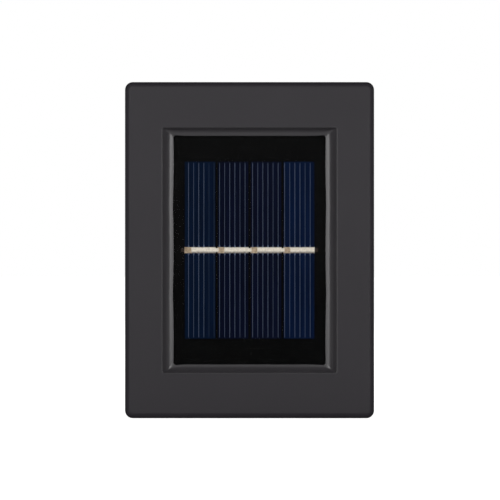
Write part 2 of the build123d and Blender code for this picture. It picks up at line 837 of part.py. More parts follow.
# ---------------------------------------------------------------- assembly


def board_screws():
    return [screw(x, board_z, board_front, board_head, board_head_height, board_screw, board_screw_length, 1)
            for x in (-board_boss_spacing / 2, board_boss_spacing / 2)]


def cover_screws():
    return [screw(x, z, head_seat, cover_head, cover_head_height, cover_screw, cover_screw_length, -1)
            for x in (-boss_x, boss_x) for z in (-boss_z, boss_z)]


def turned_over(pieces):
    return [mirror(piece, Plane.XY) for piece in pieces]


def light_unit(prefix, place):
    """Lens, reflector, board and diodes of one light window, drawn for the top."""
    return {
        prefix + "_lens": place([top_lens()]),
        prefix + "_reflector": place([top_reflector()]),
        prefix + "_led_board": place([top_led_board()]),
        prefix + "_leds": place(top_leds()),
    }


ribbons = cell_ribbons()
cells = {f"solar_cell_{i + 1}": solar_cell(x) for i, x in enumerate(in_line(cell_count, cell_pitch))}
resistor = top_led_resistor()

nodes = {
    "front_housing": [front_housing()],
    "panel_seal": [panel_seal()],
    "panel_board": [panel_board()],
    "cell_ribbons": ribbons,
    "panel_encapsulant": [panel_encapsulant(ribbons + list(cells.values()))],
    "led_resistors": [resistor, mirror(resistor, Plane.XY)],
    "main_board": [main_board()],
    "controller_chip": [controller_chip()],
    "storage_inductor": [storage_inductor()],
    "board_capacitor": [board_capacitor()],
    "board_resistors": board_resistors(),
    "board_screws": board_screws(),
    "switch_body": [switch_body()],
    "switch_pins": switch_pins(),
    "switch_plunger": [switch_plunger()],
    "switch_spring": [switch_spring()],
    "button_cap": [button_cap()],
    "button_boot": [button_boot()],
    "boot_retainer": [boot_retainer()],
    "battery_holder": [battery_holder()],
    "battery_cell": [battery_cell()],
    "battery_spring": battery_spring(),
    "battery_plate": [battery_plate()],
    "holder_tape": [holder_tape()],
    "panel_leads": [panel_leads()],
    "battery_leads": battery_leads(),
    "top_led_leads": [top_led_leads()],
    "bottom_led_leads": [bottom_led_leads()],
    "cover_gasket": [cover_gasket()],
    "back_cover": [back_cover()],
    "cover_screws": cover_screws(),
}
nodes.update({name: [cell] for name, cell in cells.items()})
nodes.update(light_unit("top", list))
nodes.update(light_unit("bottom", turned_over))

os.makedirs("parts", exist_ok=True)
for name, pieces in nodes.items():
    solids = [solid for piece in pieces for solid in piece.solids()]
    shape = solids[0] if len(solids) == 1 else Compound(children=solids)
    export_step(shape, f"parts/{name}.step")
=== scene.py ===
"""Looks of a solar fence light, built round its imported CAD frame.

Lengths are in metres, in the frame's own axes: X to the right as the front is seen, Y into the fence, Z up.
A depth is a distance in front of the fence, so it is -Y.
"""

import math

import bmesh
import bpy
from mathutils import Matrix, Vector


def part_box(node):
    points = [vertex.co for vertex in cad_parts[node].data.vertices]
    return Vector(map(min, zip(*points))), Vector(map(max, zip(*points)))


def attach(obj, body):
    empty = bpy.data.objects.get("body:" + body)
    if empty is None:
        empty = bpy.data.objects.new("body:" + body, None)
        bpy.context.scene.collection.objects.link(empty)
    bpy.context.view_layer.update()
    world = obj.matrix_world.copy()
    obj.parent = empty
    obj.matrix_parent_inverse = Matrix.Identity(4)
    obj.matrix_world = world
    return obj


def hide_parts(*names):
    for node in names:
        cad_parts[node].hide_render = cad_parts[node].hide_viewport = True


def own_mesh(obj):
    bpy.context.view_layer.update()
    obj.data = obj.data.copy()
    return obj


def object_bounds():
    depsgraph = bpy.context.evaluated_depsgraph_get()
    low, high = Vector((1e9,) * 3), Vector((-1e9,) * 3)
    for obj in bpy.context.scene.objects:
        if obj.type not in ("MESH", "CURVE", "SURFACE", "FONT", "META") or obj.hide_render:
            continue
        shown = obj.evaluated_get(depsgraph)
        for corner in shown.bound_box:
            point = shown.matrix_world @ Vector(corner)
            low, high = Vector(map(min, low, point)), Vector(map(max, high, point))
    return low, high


bl_info = {
    "name": "Solar fence light",
    "version": (1, 0, 0),
    "blender": (4, 5, 0),
    "location": "View3D > Sidebar > Fence light",
    "description": "Builds the pieces, materials and studio of a solar fence light on its CAD frame",
    "category": "Object",
}

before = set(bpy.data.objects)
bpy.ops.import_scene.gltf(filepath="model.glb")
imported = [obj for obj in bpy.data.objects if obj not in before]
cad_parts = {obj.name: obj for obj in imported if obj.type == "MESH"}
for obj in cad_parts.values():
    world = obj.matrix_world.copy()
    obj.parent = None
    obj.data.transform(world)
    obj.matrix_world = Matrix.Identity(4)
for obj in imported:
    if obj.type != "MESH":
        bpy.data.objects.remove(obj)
cad_box = [list(corner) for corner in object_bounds()]

MM = 0.001
WELD = 1e-6     # points nearer to each other than this are one point
PLANE = 1e-7    # points nearer to a cutting plane than this lie on it
BODY = "light_body"
BUTTON = "power_button"


# ---------------------------------------------------------------- settings


def linear(hex_colour):
    """sRGB hex colour as the linear one that a shader takes."""
    channels = [int(hex_colour[i:i + 2], 16) / 255 for i in (1, 3, 5)]
    return [c / 12.92 if c <= 0.04045 else ((c + 0.055) / 1.055) ** 2.4 for c in channels] + [1.0]


def length(name, description, millimetres):
    """Setting that holds a length."""
    return bpy.props.FloatProperty(
        name=name, description=description, default=millimetres * MM, unit="LENGTH", precision=5)


def colour(name, description, hex_colour):
    """Setting that holds a colour."""
    return bpy.props.FloatVectorProperty(
        name=name, description=description, default=linear(hex_colour), subtype="COLOR", size=4, min=0,
        max=1)


def fraction(name, description, default):
    """Setting that holds a share of a whole."""
    return bpy.props.FloatProperty(name=name, description=description, default=default, subtype="FACTOR")


def watts(name, description, default):
    """Setting that holds the power of a lamp."""
    return bpy.props.FloatProperty(name=name, description=description, default=default, unit="POWER")


def pointer(kind, name, description):
    """Setting that holds a group of settings."""
    return bpy.props.PointerProperty(type=kind, name=name, description=description)


class HousingSettings(bpy.types.PropertyGroup):
    corner: length("Corner radius", "Corners of the front view", 2.6)
    front_edge: length("Front edge", "Rounding round the front face", 2.0)
    side_wall: length("Side wall", "Thickness of the four side walls", 2.6)
    rim_skin: length("Rim skin", "Wall outside the back cover", 1.2)
    inner_corner: length("Inside corner", "Corners of the cavity", 1.0)
    soft_edge: length("Soft edge", "Rounding of the small edges", 0.3)
    window_width: length("Window width", "Clear width of the solar window", 51.2)
    window_height: length("Window height", "Clear height of the solar window", 76.3)
    window_corner: length("Window corner", "Corners of the solar window", 0.9)
    bezel_side: length("Bezel side", "Width of the bezel left and right of the window", 3.35)
    bezel_end: length("Bezel end", "Width of the bezel above and below the window", 2.6)
    bezel_corner: length("Bezel corner", "Outer corners of the bezel", 0.6)
    bezel_drop: length("Bezel drop", "Depth of the bezel at the window", 1.9)
    step_run: length("Step run", "Width of the bezel's steep outer step", 0.95)
    step_drop: length("Step drop", "Depth of the bezel's steep outer step", 1.05)
    slope_end: bpy.props.FloatProperty(
        name="Slope at the window", description="Tilt of the bezel where it meets the window",
        default=math.radians(7), subtype="ANGLE")
    light_length: length("Light window length", "Length of the window in the top and in the bottom", 46.0)
    light_width: length("Light window width", "Width of the window in the top and in the bottom", 18.0)
    light_depth: length("Light window depth", "Middle of the light windows, from the fence", 22.0)
    light_corner: length("Light window corner", "Corners of the light windows", 2.0)
    lip: length("Lip", "Rounding of the edge between the face and the bezel", 0.25)
    window_edge: length("Window edge", "Rounding of the window's inner edge", 0.06)
    bow: length("Bow", "How far the window's long sides bow in", 0.5)
    bow_peak: fraction(
        "Bow's peak", "Where the bow is deepest, as a share of the window's half height", 0.82)
    cuts: bpy.props.IntProperty(
        name="Cuts", description="Points on each straight side, which bow", default=15)
    lens_plate: length("Lens plate", "Height of the lens's plate in its window", 2.3)
    lens_flange: length("Lens flange", "Thickness of the lens's flange", 1.2)
    crown_side: length("Crown side", "Flat rim beside the lens's bulge", 2.2)
    crown_end: length("Crown end", "Flat rim at each end of the lens's bulge", 4.5)
    rib: length("Rib", "Thickness of the ribs inside", 1.2)
    rib_reach: length("Rib reach", "Height of the ribs on the side walls", 2.5)
    rib_spacing: length("Rib spacing", "Spacing of the ribs on the side walls", 30.0)
    rib_back: length("Rib back", "Where the ribs start, from the fence", 7.8)
    rail_reach: length("Rail reach", "Height of the rails beside the lenses", 5.0)
    frame_height: length("Frame height", "Height of the frame round the panel", 3.6)
    panel_fit: length("Panel fit", "Gap round the panel", 0.2)
    fit: length("Rail fit", "Gap between a rail and its lens", 0.1)
    bite: length("Bite", "How deep a rib goes into the wall it stands on", 0.1)
    boss: length("Boss", "Diameter of the four screw bosses", 6.4)
    boss_inset: length("Boss inset", "Middle of a boss, from the outside of the housing", 6.2)
    boss_back: length("Boss back", "Where the bosses start, from the fence", 4.8)
    boss_hole: length("Boss hole", "Diameter of the bosses' holes", 2.7)
    pilot_spare: length("Pilot spare", "Hole beyond the end of a screw", 1.0)
    web: length("Web", "Thickness of the webs that tie a boss to the walls", 1.6)


class PanelSettings(bpy.types.PropertyGroup):
    finger_pitch: length("Finger pitch", "Spacing of the printed fingers on the cells", 1.7)
    finger_width: length("Finger width", "Width of a printed finger, drawn wide enough to show", 0.15)
    # painted shade: over this width a cell darkens towards its left and right edges, between the cells
    painted_edge_shade: length("Edge shade", "Width over which a cell darkens towards its edges", 0.3)
    finger_end: length("Finger end", "How far a finger stops short of the cell's edge", 0.4)
    flare_height: length("Flare", "Height above the cell's middle at which the fingers start to widen", 1.9)
    busbar: length("Busbar", "Width of the printed busbar across each cell", 2.0)
    resin_gap: length("Resin gap", "Air line between the resin and the board under it", 0.02)
    resin_edge: length("Resin edge", "Rounding of the resin's front edge", 0.4)


class LightSettings(bpy.types.PropertyGroup):
    led_length: length("Diode length", "Length of a diode's package", 3.5)
    cup_rim: length("Cup rim", "Wall of a diode's cup at its mouth", 0.35)
    cup_slope: length("Cup slope", "How much further in each wall reaches at the cup's floor", 0.25)
    cup_depth: length("Cup depth", "Depth of a diode's cup", 0.6)
    cup_corner: length("Cup corner", "Corners of the gel in a cup", 0.15)
    meniscus: length("Meniscus", "How far the gel's edge lies below the cup's mouth", 0.08)


class FixingSettings(bpy.types.PropertyGroup):
    cover_head: length("Cover screw head", "Height of a cover screw's head", 1.8)
    cover_shank: length("Cover screw shank", "Diameter over a cover screw's thread", 2.6)
    board_head: length("Board screw head", "Height of a board screw's head", 1.4)
    board_shank: length("Board screw shank", "Diameter over a board screw's thread", 2.2)
    pitch: length("Thread pitch", "Pitch of the screws' threads", 0.9)
    head_edge: length("Head edge", "Rounding of a screw head's edge", 0.35)
    recess_share: fraction("Recess", "Cross recess, as a share of the head's diameter", 0.62)
    recess_width: length("Recess width", "Width of the cross recess", 0.7)
    recess_depth: length("Recess depth", "Depth of the cross recess", 0.8)
    boot_head: length("Button head", "Diameter of the soft button's head", 8.0)
    boot_edge: length("Button edge", "Rounding of the soft button's edge", 0.8)
    boot_top: length("Button top", "Thickness of the soft button's head", 1.2)
    boot_hole: length("Button hole", "Radius of the hollow behind the soft button's head", 2.8)
    boot_web: length("Button web", "Thickness of the web that gives way", 0.5)
    boot_web_width: length("Button web width", "Width of the web that gives way", 1.0)
    boot_flange: length("Button flange", "Thickness of the soft button's flange", 1.2)
    boot_dimple: length("Button dimple", "Hollow in the middle of the soft button", 0.25)
    spring_wire: length("Switch spring wire", "Wire of the spring in the switch", 0.35)
    spring: length("Switch spring", "Diameter of the spring in the switch, to the wire's middle", 2.9)
    battery_wire: length("Battery spring wire", "Wire of the battery's coil", 0.7)
    battery_base: length("Battery spring base", "Diameter of the battery's coil at the wide end", 8.0)
    battery_tip: length("Battery spring tip", "Diameter of the battery's coil at the cell", 5.0)
    contact: length("Contact", "Thickness of the battery's contacts", 0.4)
    cell_edge: length("Cell edge", "Rounding of the battery cell's ends", 0.6)
    nub: length("Nub", "Diameter of the cell's positive end", 5.5)
    nub_length: length("Nub length", "Length of the cell's positive end", 1.3)


class FinishSettings(bpy.types.PropertyGroup):
    housing: colour("Housing", "Charcoal plastic of the housing and the cover", "#2f2c31")
    # the bezel's tone is lighter than the housing's, as painted light on its slope
    bezel: colour("Bezel", "Smoother plastic of the bezel", "#383639")
    finger: colour("Finger", "Printed silver fingers of the cells", "#66728a")
    # the ribbon's tone at the top of its painted highlight
    ribbon: colour("Ribbon", "Tinned copper ribbon", "#fff6e6")
    board: colour("Circuit board", "Green solder mask over the tracks", "#2a7a45")
    lead_red: colour("Red lead", "Insulation of the positive leads", "#a01414")
    lead_black: colour("Black lead", "Insulation of the negative leads", "#121212")


class StudioSettings(bpy.types.PropertyGroup):
    lens: bpy.props.FloatProperty(
        name="Lens", description="Focal length of the camera, in millimetres", default=250.0, unit="CAMERA")
    shift: bpy.props.FloatVectorProperty(
        name="Shift", description="Shift of the picture, as a share of its width",
        default=(0.0009, 0.0003), size=2, precision=4)
    frame_width: length("Frame width", "Width that the camera sees at the light's front face", 166.3)
    strip_power: watts("Strip light", "Power of each of the two tall soft boxes beside the camera", 3.9)
    end_power: watts("High light", "Power of the soft box above the camera", 0.1)
    card: fraction("Floor before the light",
                   "Brightness of the floor just before the light, in reflections", 0.55)
    back_power: watts("Back light", "Power of each of the two soft boxes behind the light", 3.5)
    fill: fraction("Fill", "Light of the room, which is brightest to the front and the back", 0.42)


class FenceLightSettings(bpy.types.PropertyGroup):
    housing: pointer(HousingSettings, "Housing", "Sizes of the housing")
    panel: pointer(PanelSettings, "Panel", "Sizes on the solar panel")
    lights: pointer(LightSettings, "Lights", "Sizes of the diodes")
    fixings: pointer(FixingSettings, "Fixings", "Sizes of the screws, button, springs and battery")
    finish: pointer(FinishSettings, "Finish", "Colours")
    studio: pointer(StudioSettings, "Studio", "Camera and lights")


def settings():
    """The sizes and colours, as the sidebar shows them."""
    return bpy.context.scene.fence_light


# ---------------------------------------------------------------- mesh helpers

STACK = 0.02    # rings are bridged this far apart, so that each meets the next one squarely


def at_depth(depth, x=0.0, z=0.0):
    """Turns what is drawn flat to face the front, at a depth."""
    return Matrix.Translation((x, -depth, z)) @ Matrix.Rotation(math.radians(90), 4, "X")


def at_height(height, depth):
    """Puts what is drawn flat at a height, round a line at a depth."""
    return Matrix.Translation((0, -depth, height))


def along_x(x, depth, z):
    """Turns what is drawn flat to face right."""
    return Matrix.Translation((x, -depth, z)) @ Matrix.Rotation(math.radians(90), 4, "Y")


def rounded(bm, width, height, corner, cuts=0, segments=8):
    """Flat rectangle with round corners, as a closed loop of edges. Its straight sides can be cut."""
    before = set(bm.faces)
    grid = bmesh.ops.create_grid(bm, x_segments=1, y_segments=1, size=0.5)
    bmesh.ops.scale(bm, vec=(width, height, 1), verts=grid["verts"])
    bmesh.ops.bevel(bm, geom=grid["verts"], offset=corner, offset_type="OFFSET", affect="VERTICES",
                    segments=segments, profile=0.5, material=-1)
    face = (set(bm.faces) - before).pop()
    edges = list(face.edges)
    bmesh.ops.delete(bm, geom=[face], context="FACES_ONLY")
    if cuts:
        sides = sorted(edges, key=lambda edge: edge.calc_length())[-4:]
        cut = bmesh.ops.subdivide_edges(bm, edges=sides, cuts=cuts)["geom_inner"]
        verts = [vert for vert in cut if isinstance(vert, bmesh.types.BMVert)]
        edges = list({edge for vert in verts for edge in vert.link_edges}
                     | {edge for edge in edges if edge.is_valid})
    return edges


def disc(bm, radius, segments=48):
    """Flat circle, as a closed loop of edges."""
    circle = bmesh.ops.create_circle(bm, cap_ends=False, segments=segments, radius=radius)
    return list({edge for vert in circle["verts"] for edge in vert.link_edges})


def loft(bm, rings, places, capped=False):
    """Bridges flat rings, each to the next, and puts each in its place. Returns the faces of each bridge."""
    loops = [list({vert for edge in ring for vert in edge.verts}) for ring in rings]
    for level, verts in enumerate(loops):
        bmesh.ops.translate(bm, vec=(0, 0, level * STACK), verts=verts)
    strips = [bmesh.ops.bridge_loops(bm, edges=near + far)["faces"] for near, far in zip(rings, rings[1:])]
    if capped:
        bmesh.ops.contextual_create(bm, geom=rings[0])
        bmesh.ops.contextual_create(bm, geom=rings[-1])
    for verts, place in zip(loops, places):
        bmesh.ops.transform(bm, matrix=place @ Matrix.Diagonal((1, 1, 0, 1)), verts=verts)
    return strips


def lathe(bm, profile, axis, segments=48):
    """Closed round piece from (radius, distance along the axis) points, drawn along Z and then placed."""
    rings = [disc(bm, radius, segments) for radius, _ in profile]
    return loft(bm, rings, [axis @ Matrix.Translation((0, 0, along)) for _, along in profile], capped=True)


def block(bm, low, high, edge=0.0, segments=3):
    """Box between two corners, with its edges rounded."""
    size = Vector(high) - Vector(low)
    place = Matrix.Translation((Vector(high) + Vector(low)) / 2) @ Matrix.Diagonal((*size, 1))
    verts = bmesh.ops.create_cube(bm, size=1, matrix=place)["verts"]
    if edge:
        edges = list({e for vert in verts for e in vert.link_edges})
        bmesh.ops.bevel(bm, geom=edges, offset=edge, offset_type="OFFSET", affect="EDGES", segments=segments,
                        profile=0.5, material=-1)


def arc(radius, steps):
    """Quarter circle that rounds an edge, in even steps from (0, radius) to (radius, 0)."""
    angles = [math.radians(90) * i / steps for i in range(steps + 1)]
    return [(radius * (1 - math.cos(angle)), radius * (1 - math.sin(angle))) for angle in angles]


def softened(name, radius, sharp=30):
    """Copy of a CAD node with its flat faces joined up and its edges rounded, as they leave the mould."""
    bm = bmesh.new()
    bm.from_mesh(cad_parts[name].data)
    bmesh.ops.remove_doubles(bm, verts=bm.verts, dist=WELD)
    bmesh.ops.dissolve_limit(bm, angle_limit=math.radians(1), verts=bm.verts, edges=bm.edges)
    edges = [edge for edge in bm.edges if edge.calc_face_angle(0) > math.radians(sharp)]
    bmesh.ops.bevel(bm, geom=edges, offset=radius, offset_type="OFFSET", affect="EDGES", segments=2,
                    profile=0.5, material=-1)
    return bm


def finish_piece(bm, name, materials, replaces=(), body=BODY, sharp=40):
    """Makes the piece of a mesh: smooth but for its sharp edges, on its body and in its finish."""
    bmesh.ops.remove_doubles(bm, verts=bm.verts, dist=WELD)
    bmesh.ops.recalc_face_normals(bm, faces=bm.faces)
    for face in bm.faces:
        face.smooth = True
    for edge in bm.edges:
        edge.smooth = edge.calc_face_angle(0) < math.radians(sharp)
    mesh = bpy.data.meshes.new(name)
    bm.to_mesh(mesh)
    bm.free()
    for material in materials:
        mesh.materials.append(material)
    piece = bpy.data.objects.new(name, mesh)
    bpy.context.scene.collection.objects.link(piece)
    weighted = piece.modifiers.new("Even flats", "WEIGHTED_NORMAL")
    weighted.keep_sharp = True
    weighted.weight = 90
    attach(piece, body)
    if replaces:
        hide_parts(*replaces)
    return piece


def soften_node(node, piece, radius, material, body=BODY):
    """Puts a softened copy of a CAD node in its place, in one finish."""
    return finish_piece(softened(node, radius), piece, [material], [node], body)


def dress(name, material):
    """Gives a CAD node its material."""
    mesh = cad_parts[name].data
    mesh.materials.clear()
    mesh.materials.append(material)


# ---------------------------------------------------------------- materials


def add_node(tree, kind, inputs=None, **settings):
    """Adds a node. Each input takes a value or the socket that is linked to it."""
    made = tree.nodes.new(kind)
    for name, value in settings.items():
        setattr(made, name, value)
    for name, value in (inputs or {}).items():
        if isinstance(value, bpy.types.NodeSocket):
            tree.links.new(value, made.inputs[name])
        else:
            made.inputs[name].default_value = value
    return made


def maths(tree, operation, *values, clamp=False):
    """Output of a sum on sockets and numbers."""
    inputs = dict(enumerate(values))
    return add_node(tree, "ShaderNodeMath", inputs, operation=operation, use_clamp=clamp).outputs[0]


def blend(tree, factor, low, high, kind="RGBA"):
    """Output of a mix of two colours, or of two numbers."""
    inputs = {"Factor": factor, "A": low, "B": high}
    return add_node(tree, "ShaderNodeMix", inputs, data_type=kind).outputs["Result"]


def ramp(tree, value, start, end, low=0.0, high=1.0, kind="LINEAR"):
    """Output that goes from low to high while a value goes from start to end."""
    inputs = {"Value": value, "From Min": start, "From Max": end, "To Min": low, "To Max": high}
    return add_node(tree, "ShaderNodeMapRange", inputs, interpolation_type=kind).outputs[0]


def noise(tree, coords, size, detail):
    """Output of a noise whose patches have a real size in millimetres."""
    inputs = {"Vector": coords, "Scale": 1 / (size * MM), "Detail": detail}
    return add_node(tree, "ShaderNodeTexNoise", inputs).outputs["Fac"]


def start_material(name, roughness, **inputs):
    """New material with its Principled shader, its node tree and its object coordinates."""
    material = bpy.data.materials.new(name)
    material.use_nodes = True
    tree = material.node_tree
    shader = tree.nodes["Principled BSDF"]
    shader.inputs["Roughness"].default_value = roughness
    for socket, value in inputs.items():
        shader.inputs[socket.replace("_", " ")].default_value = value
    coords = add_node(tree, "ShaderNodeTexCoord").outputs["Object"]
    return material, tree, shader, coords


def mottle(tree, coords, shader, tone, patch, spread):
    """Colour of a piece: one tone, a little lighter and darker in patches of a size in millimetres."""
    lighter = [min(1.0, c * (1 + spread)) for c in tone[:3]] + [1.0]
    darker = [c * (1 - spread) for c in tone[:3]] + [1.0]
    patches = noise(tree, coords, size=patch, detail=3.0)
    tree.links.new(blend(tree, patches, darker, lighter), shader.inputs["Base Color"])


def emboss(tree, shader, height, distance, strength=1.0):
    """Bump of a height pattern, whose full height is a real distance."""
    bump = add_node(tree, "ShaderNodeBump", {"Height": height, "Distance": distance, "Strength": strength})
    tree.links.new(bump.outputs["Normal"], shader.inputs["Normal"])


def roughen(tree, coords, shader, size, detail, height, strength):
    """Bump of a noise, whose patches and full height are in millimetres."""
    emboss(tree, shader, noise(tree, coords, size, detail), height * MM, strength)


def etched_charcoal_abs():
    # Moulded in a spark-etched tool: a fine even grain of 0.4 mm pits that spreads the sheen wide.
    material, tree, shader, coords = start_material(
        "etched_charcoal_abs", roughness=0.46, IOR=1.53, Specular_IOR_Level=0.25)
    mottle(tree, coords, shader, settings().finish.housing, patch=30.0, spread=0.10)
    roughen(tree, coords, shader, size=0.4, detail=2.0, height=0.03, strength=0.6)
    return material


def polished_charcoal_abs():
    # Same plastic off the polished part of the tool, so the bezel's slope mirrors the soft boxes. Its tone
    # is lighter than the housing's: painted light on the slope.
    material, tree, shader, coords = start_material("polished_charcoal_abs", roughness=0.27, IOR=1.53)
    mottle(tree, coords, shader, settings().finish.bezel, patch=12.0, spread=0.08)
    roughen(tree, coords, shader, size=2.5, detail=1.0, height=0.01, strength=0.4)
    return material


def plain_finish(name, hex_colour, roughness, patch=4.0, spread=0.12, grain=0.0, **inputs):
    """Finish of a hidden or small piece: mottled colour, and a grain of a real size in millimetres."""
    material, tree, shader, coords = start_material(name, roughness, **inputs)
    mottle(tree, coords, shader, linear(hex_colour), patch=patch, spread=spread)
    if grain:
        roughen(tree, coords, shader, size=grain, detail=2.0, height=grain / 10, strength=0.5)
    return material


def clear_moulding(name, hex_colour, roughness, ior):
    """Clear plastic that lets lamps through, so that what is under it is lit as in the open."""
    material, tree, shader, coords = start_material(name, roughness, IOR=ior, Transmission_Weight=1.0)
    shader.inputs["Base Color"].default_value = linear(hex_colour)
    roughen(tree, coords, shader, size=9.0, detail=1.0, height=0.01, strength=0.2)
    path = add_node(tree, "ShaderNodeLightPath")
    clear = add_node(tree, "ShaderNodeBsdfTransparent", {"Color": linear(hex_colour)})
    mix = add_node(tree, "ShaderNodeMixShader",
                   {0: path.outputs["Is Shadow Ray"], 1: shader.outputs[0], 2: clear.outputs[0]})
    tree.links.new(mix.outputs[0], tree.nodes["Material Output"].inputs["Surface"])
    return material


# each cell: its number, its first finger in mm from its left edge, how many fingers are bold, and its tone
CELLS = (
    (1, 1.36, 4, "#021631"),
    (2, 0.70, 9, "#030b24"),
    (3, 0.74, 9, "#050d26"),
    (4, 0.42, 9, "#031738"),
)
FLARE = 0.3      # how much wider a finger gets, for each unit of length nearer to the busbar
DULLEST = 0.65   # brightness of the dullest finger against the brightest one
FAINT = 0.3      # brightness of a faint finger against a bold one
STREAK = 0.5     # how far the streaks of a cell go from its tone
PAINTED_EDGE_TONE = 0.2  # share of the cell's tone that the painted shade leaves at its very edge


def printed_silicon(number, first_finger, bold_fingers, tone):
    # Coated silicon is almost black with a blue cast. Silver fingers are screen printed on it, each one a
    # little different in shine, and they widen where they run into the busbar, which is bare and tarnished.
    # The resin on the cell has nearly the same refraction, so the cell's own surface doesn't shine. Towards
    # its left and right edges the cell carries painted shade.
    sizes, finish = settings().panel, settings().finish
    low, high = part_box(f"solar_cell_{number}")
    material, tree, shader, coords = start_material(
        f"printed_silicon_{number}", roughness=0.5, Specular_IOR_Level=0.02)
    place = add_node(tree, "ShaderNodeSeparateXYZ", {0: coords})
    across, up = place.outputs["X"], maths(tree, "ABSOLUTE", place.outputs["Z"])

    start = low.x + first_finger - sizes.finger_pitch / 2
    count = maths(tree, "DIVIDE", maths(tree, "SUBTRACT", across, start), sizes.finger_pitch)
    from_middle = maths(tree, "SUBTRACT", maths(tree, "FRACT", count), 0.5)
    off = maths(tree, "MULTIPLY", maths(tree, "ABSOLUTE", from_middle), sizes.finger_pitch)
    near_bar = maths(tree, "MAXIMUM", maths(tree, "SUBTRACT", sizes.flare_height, up), 0.0)
    half = maths(tree, "MULTIPLY_ADD", near_bar, FLARE, sizes.finger_width / 2)
    finger = maths(tree, "LESS_THAN", off, half)
    inside = maths(tree, "LESS_THAN", up, (high.z - low.z) / 2 - sizes.finger_end)
    bold = maths(tree, "LESS_THAN", count, float(bold_fingers))
    shine = add_node(
        tree, "ShaderNodeTexWhiteNoise", {"W": maths(tree, "FLOOR", count)}, noise_dimensions="1D")
    strength = maths(tree, "MULTIPLY_ADD", shine.outputs["Value"], 1 - DULLEST, DULLEST)
    strength = maths(tree, "MULTIPLY", strength, maths(tree, "MULTIPLY_ADD", bold, 1 - FAINT, FAINT))
    finger = maths(tree, "MULTIPLY", maths(tree, "MULTIPLY", finger, inside), strength)

    stretched = add_node(tree, "ShaderNodeMapping", {"Vector": coords, "Scale": (1, 1, 0.06)})
    darker, lighter = ([c * share for c in tone[:3]] + [1.0] for share in (1 - STREAK, 1 + STREAK))
    silicon = blend(tree, noise(tree, stretched.outputs[0], size=1.6, detail=2.0), darker, lighter)
    # painted shade: the cell darkens towards its left and right edges, between the cells
    from_edge = maths(tree, "MINIMUM", maths(tree, "SUBTRACT", across, low.x),
                      maths(tree, "SUBTRACT", high.x, across))
    lit = ramp(tree, from_edge, 0.0, sizes.painted_edge_shade, PAINTED_EDGE_TONE)
    silicon = blend(tree, lit, linear("#030304"), silicon)
    bare = blend(tree, noise(tree, coords, size=0.9, detail=2.0), linear("#7a5a3c"), linear("#ffe9c8"))
    printed = blend(tree, finger, silicon, finish.finger)
    whole = blend(tree, maths(tree, "LESS_THAN", up, sizes.busbar / 2), printed, bare)
    tree.links.new(whole, shader.inputs["Base Color"])
    return material


HIGHLIGHT_TOP = 0.22     # the painted highlight along the solder's ridge starts to fall here, as a share of the busbar's width
HIGHLIGHT_FOOT = 0.52    # and ends here
RIDGE_HIGHLIGHT_SHARE = 0.75   # how much the painted highlight brightens the tin
FROTH_SHARE = 0.7    # how much the froth brightens it
FROTH_AND_HIGHLIGHT_START = 0.2       # level of froth and painted highlight above which the tin's colour brightens


def tinned_ribbon():
    # Copper ribbon dipped in tin: pale and warm, with a painted highlight along its middle, a little above
    # it, and painted shade towards its edges. Past the cells it is stained dark by the flux.
    sizes = settings().panel
    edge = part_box("solar_cell_4")[1].x
    material, tree, shader, coords = start_material("tinned_ribbon", roughness=0.5, Metallic=0.55)
    place = add_node(tree, "ShaderNodeSeparateXYZ", {0: coords})
    froth = noise(tree, coords, size=0.7, detail=3.0)
    # painted highlight: a band along the ribbon's middle, a little above it, which fades to painted shade at
    # its edges; the froth is the tin's own uneven tone
    off = maths(tree, "ABSOLUTE", maths(tree, "SUBTRACT", place.outputs["Z"], sizes.busbar / 10))
    ridge = ramp(tree, off, sizes.busbar * HIGHLIGHT_TOP, sizes.busbar * HIGHLIGHT_FOOT, RIDGE_HIGHLIGHT_SHARE, 0.0)
    height = maths(tree, "MULTIPLY_ADD", froth, FROTH_SHARE, ridge)
    height = maths(tree, "SUBTRACT", height, FROTH_AND_HIGHLIGHT_START, clamp=True)
    tin_with_highlight = blend(tree, height, linear("#5c554c"), settings().finish.ribbon)
    past = maths(tree, "GREATER_THAN", maths(tree, "ABSOLUTE", place.outputs["X"]), edge)
    tree.links.new(blend(tree, past, tin_with_highlight, linear("#2a1c10")), shader.inputs["Base Color"])
    emboss(tree, shader, froth, distance=0.04 * MM, strength=0.5)
    return material


def green_board():
    # Green solder mask over copper: the tracks show through as lighter lines in a 1.3 mm raster.
    material, tree, shader, coords = start_material("green_solder_mask", roughness=0.3)
    flat = add_node(tree, "ShaderNodeMapping", {"Vector": coords, "Rotation": (math.radians(90), 0, 0)})
    tracks = add_node(tree, "ShaderNodeTexBrick", {
        "Vector": flat.outputs[0], "Scale": 1 / MM, "Brick Width": 9.0, "Row Height": 1.3,
        "Mortar Size": 0.22, "Mortar Smooth": 0.2, "Color1": linear("#124526"), "Color2": linear("#16502c"),
        "Mortar": settings().finish.board})
    tree.links.new(tracks.outputs["Color"], shader.inputs["Base Color"])
    emboss(tree, shader, tracks.outputs["Fac"], distance=0.04 * MM, strength=0.6)
    return material


def paired_insulation(name):
    # Extruded PVC: a red core on the right and a black one on the left, with the soft sheen and the slightly
    # uneven skin of a drawn sleeve.
    low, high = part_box(name)
    finish = settings().finish
    material, tree, shader, coords = start_material(f"extruded_pvc_{name}", roughness=0.42)
    across = add_node(tree, "ShaderNodeSeparateXYZ", {0: coords}).outputs["X"]
    right = maths(tree, "GREATER_THAN", across, (low.x + high.x) / 2)
    pair = blend(tree, right, finish.lead_black, finish.lead_red)
    tree.links.new(pair, shader.inputs["Base Color"])
    roughen(tree, coords, shader, size=0.8, detail=2.0, height=0.03, strength=0.4)
    return material


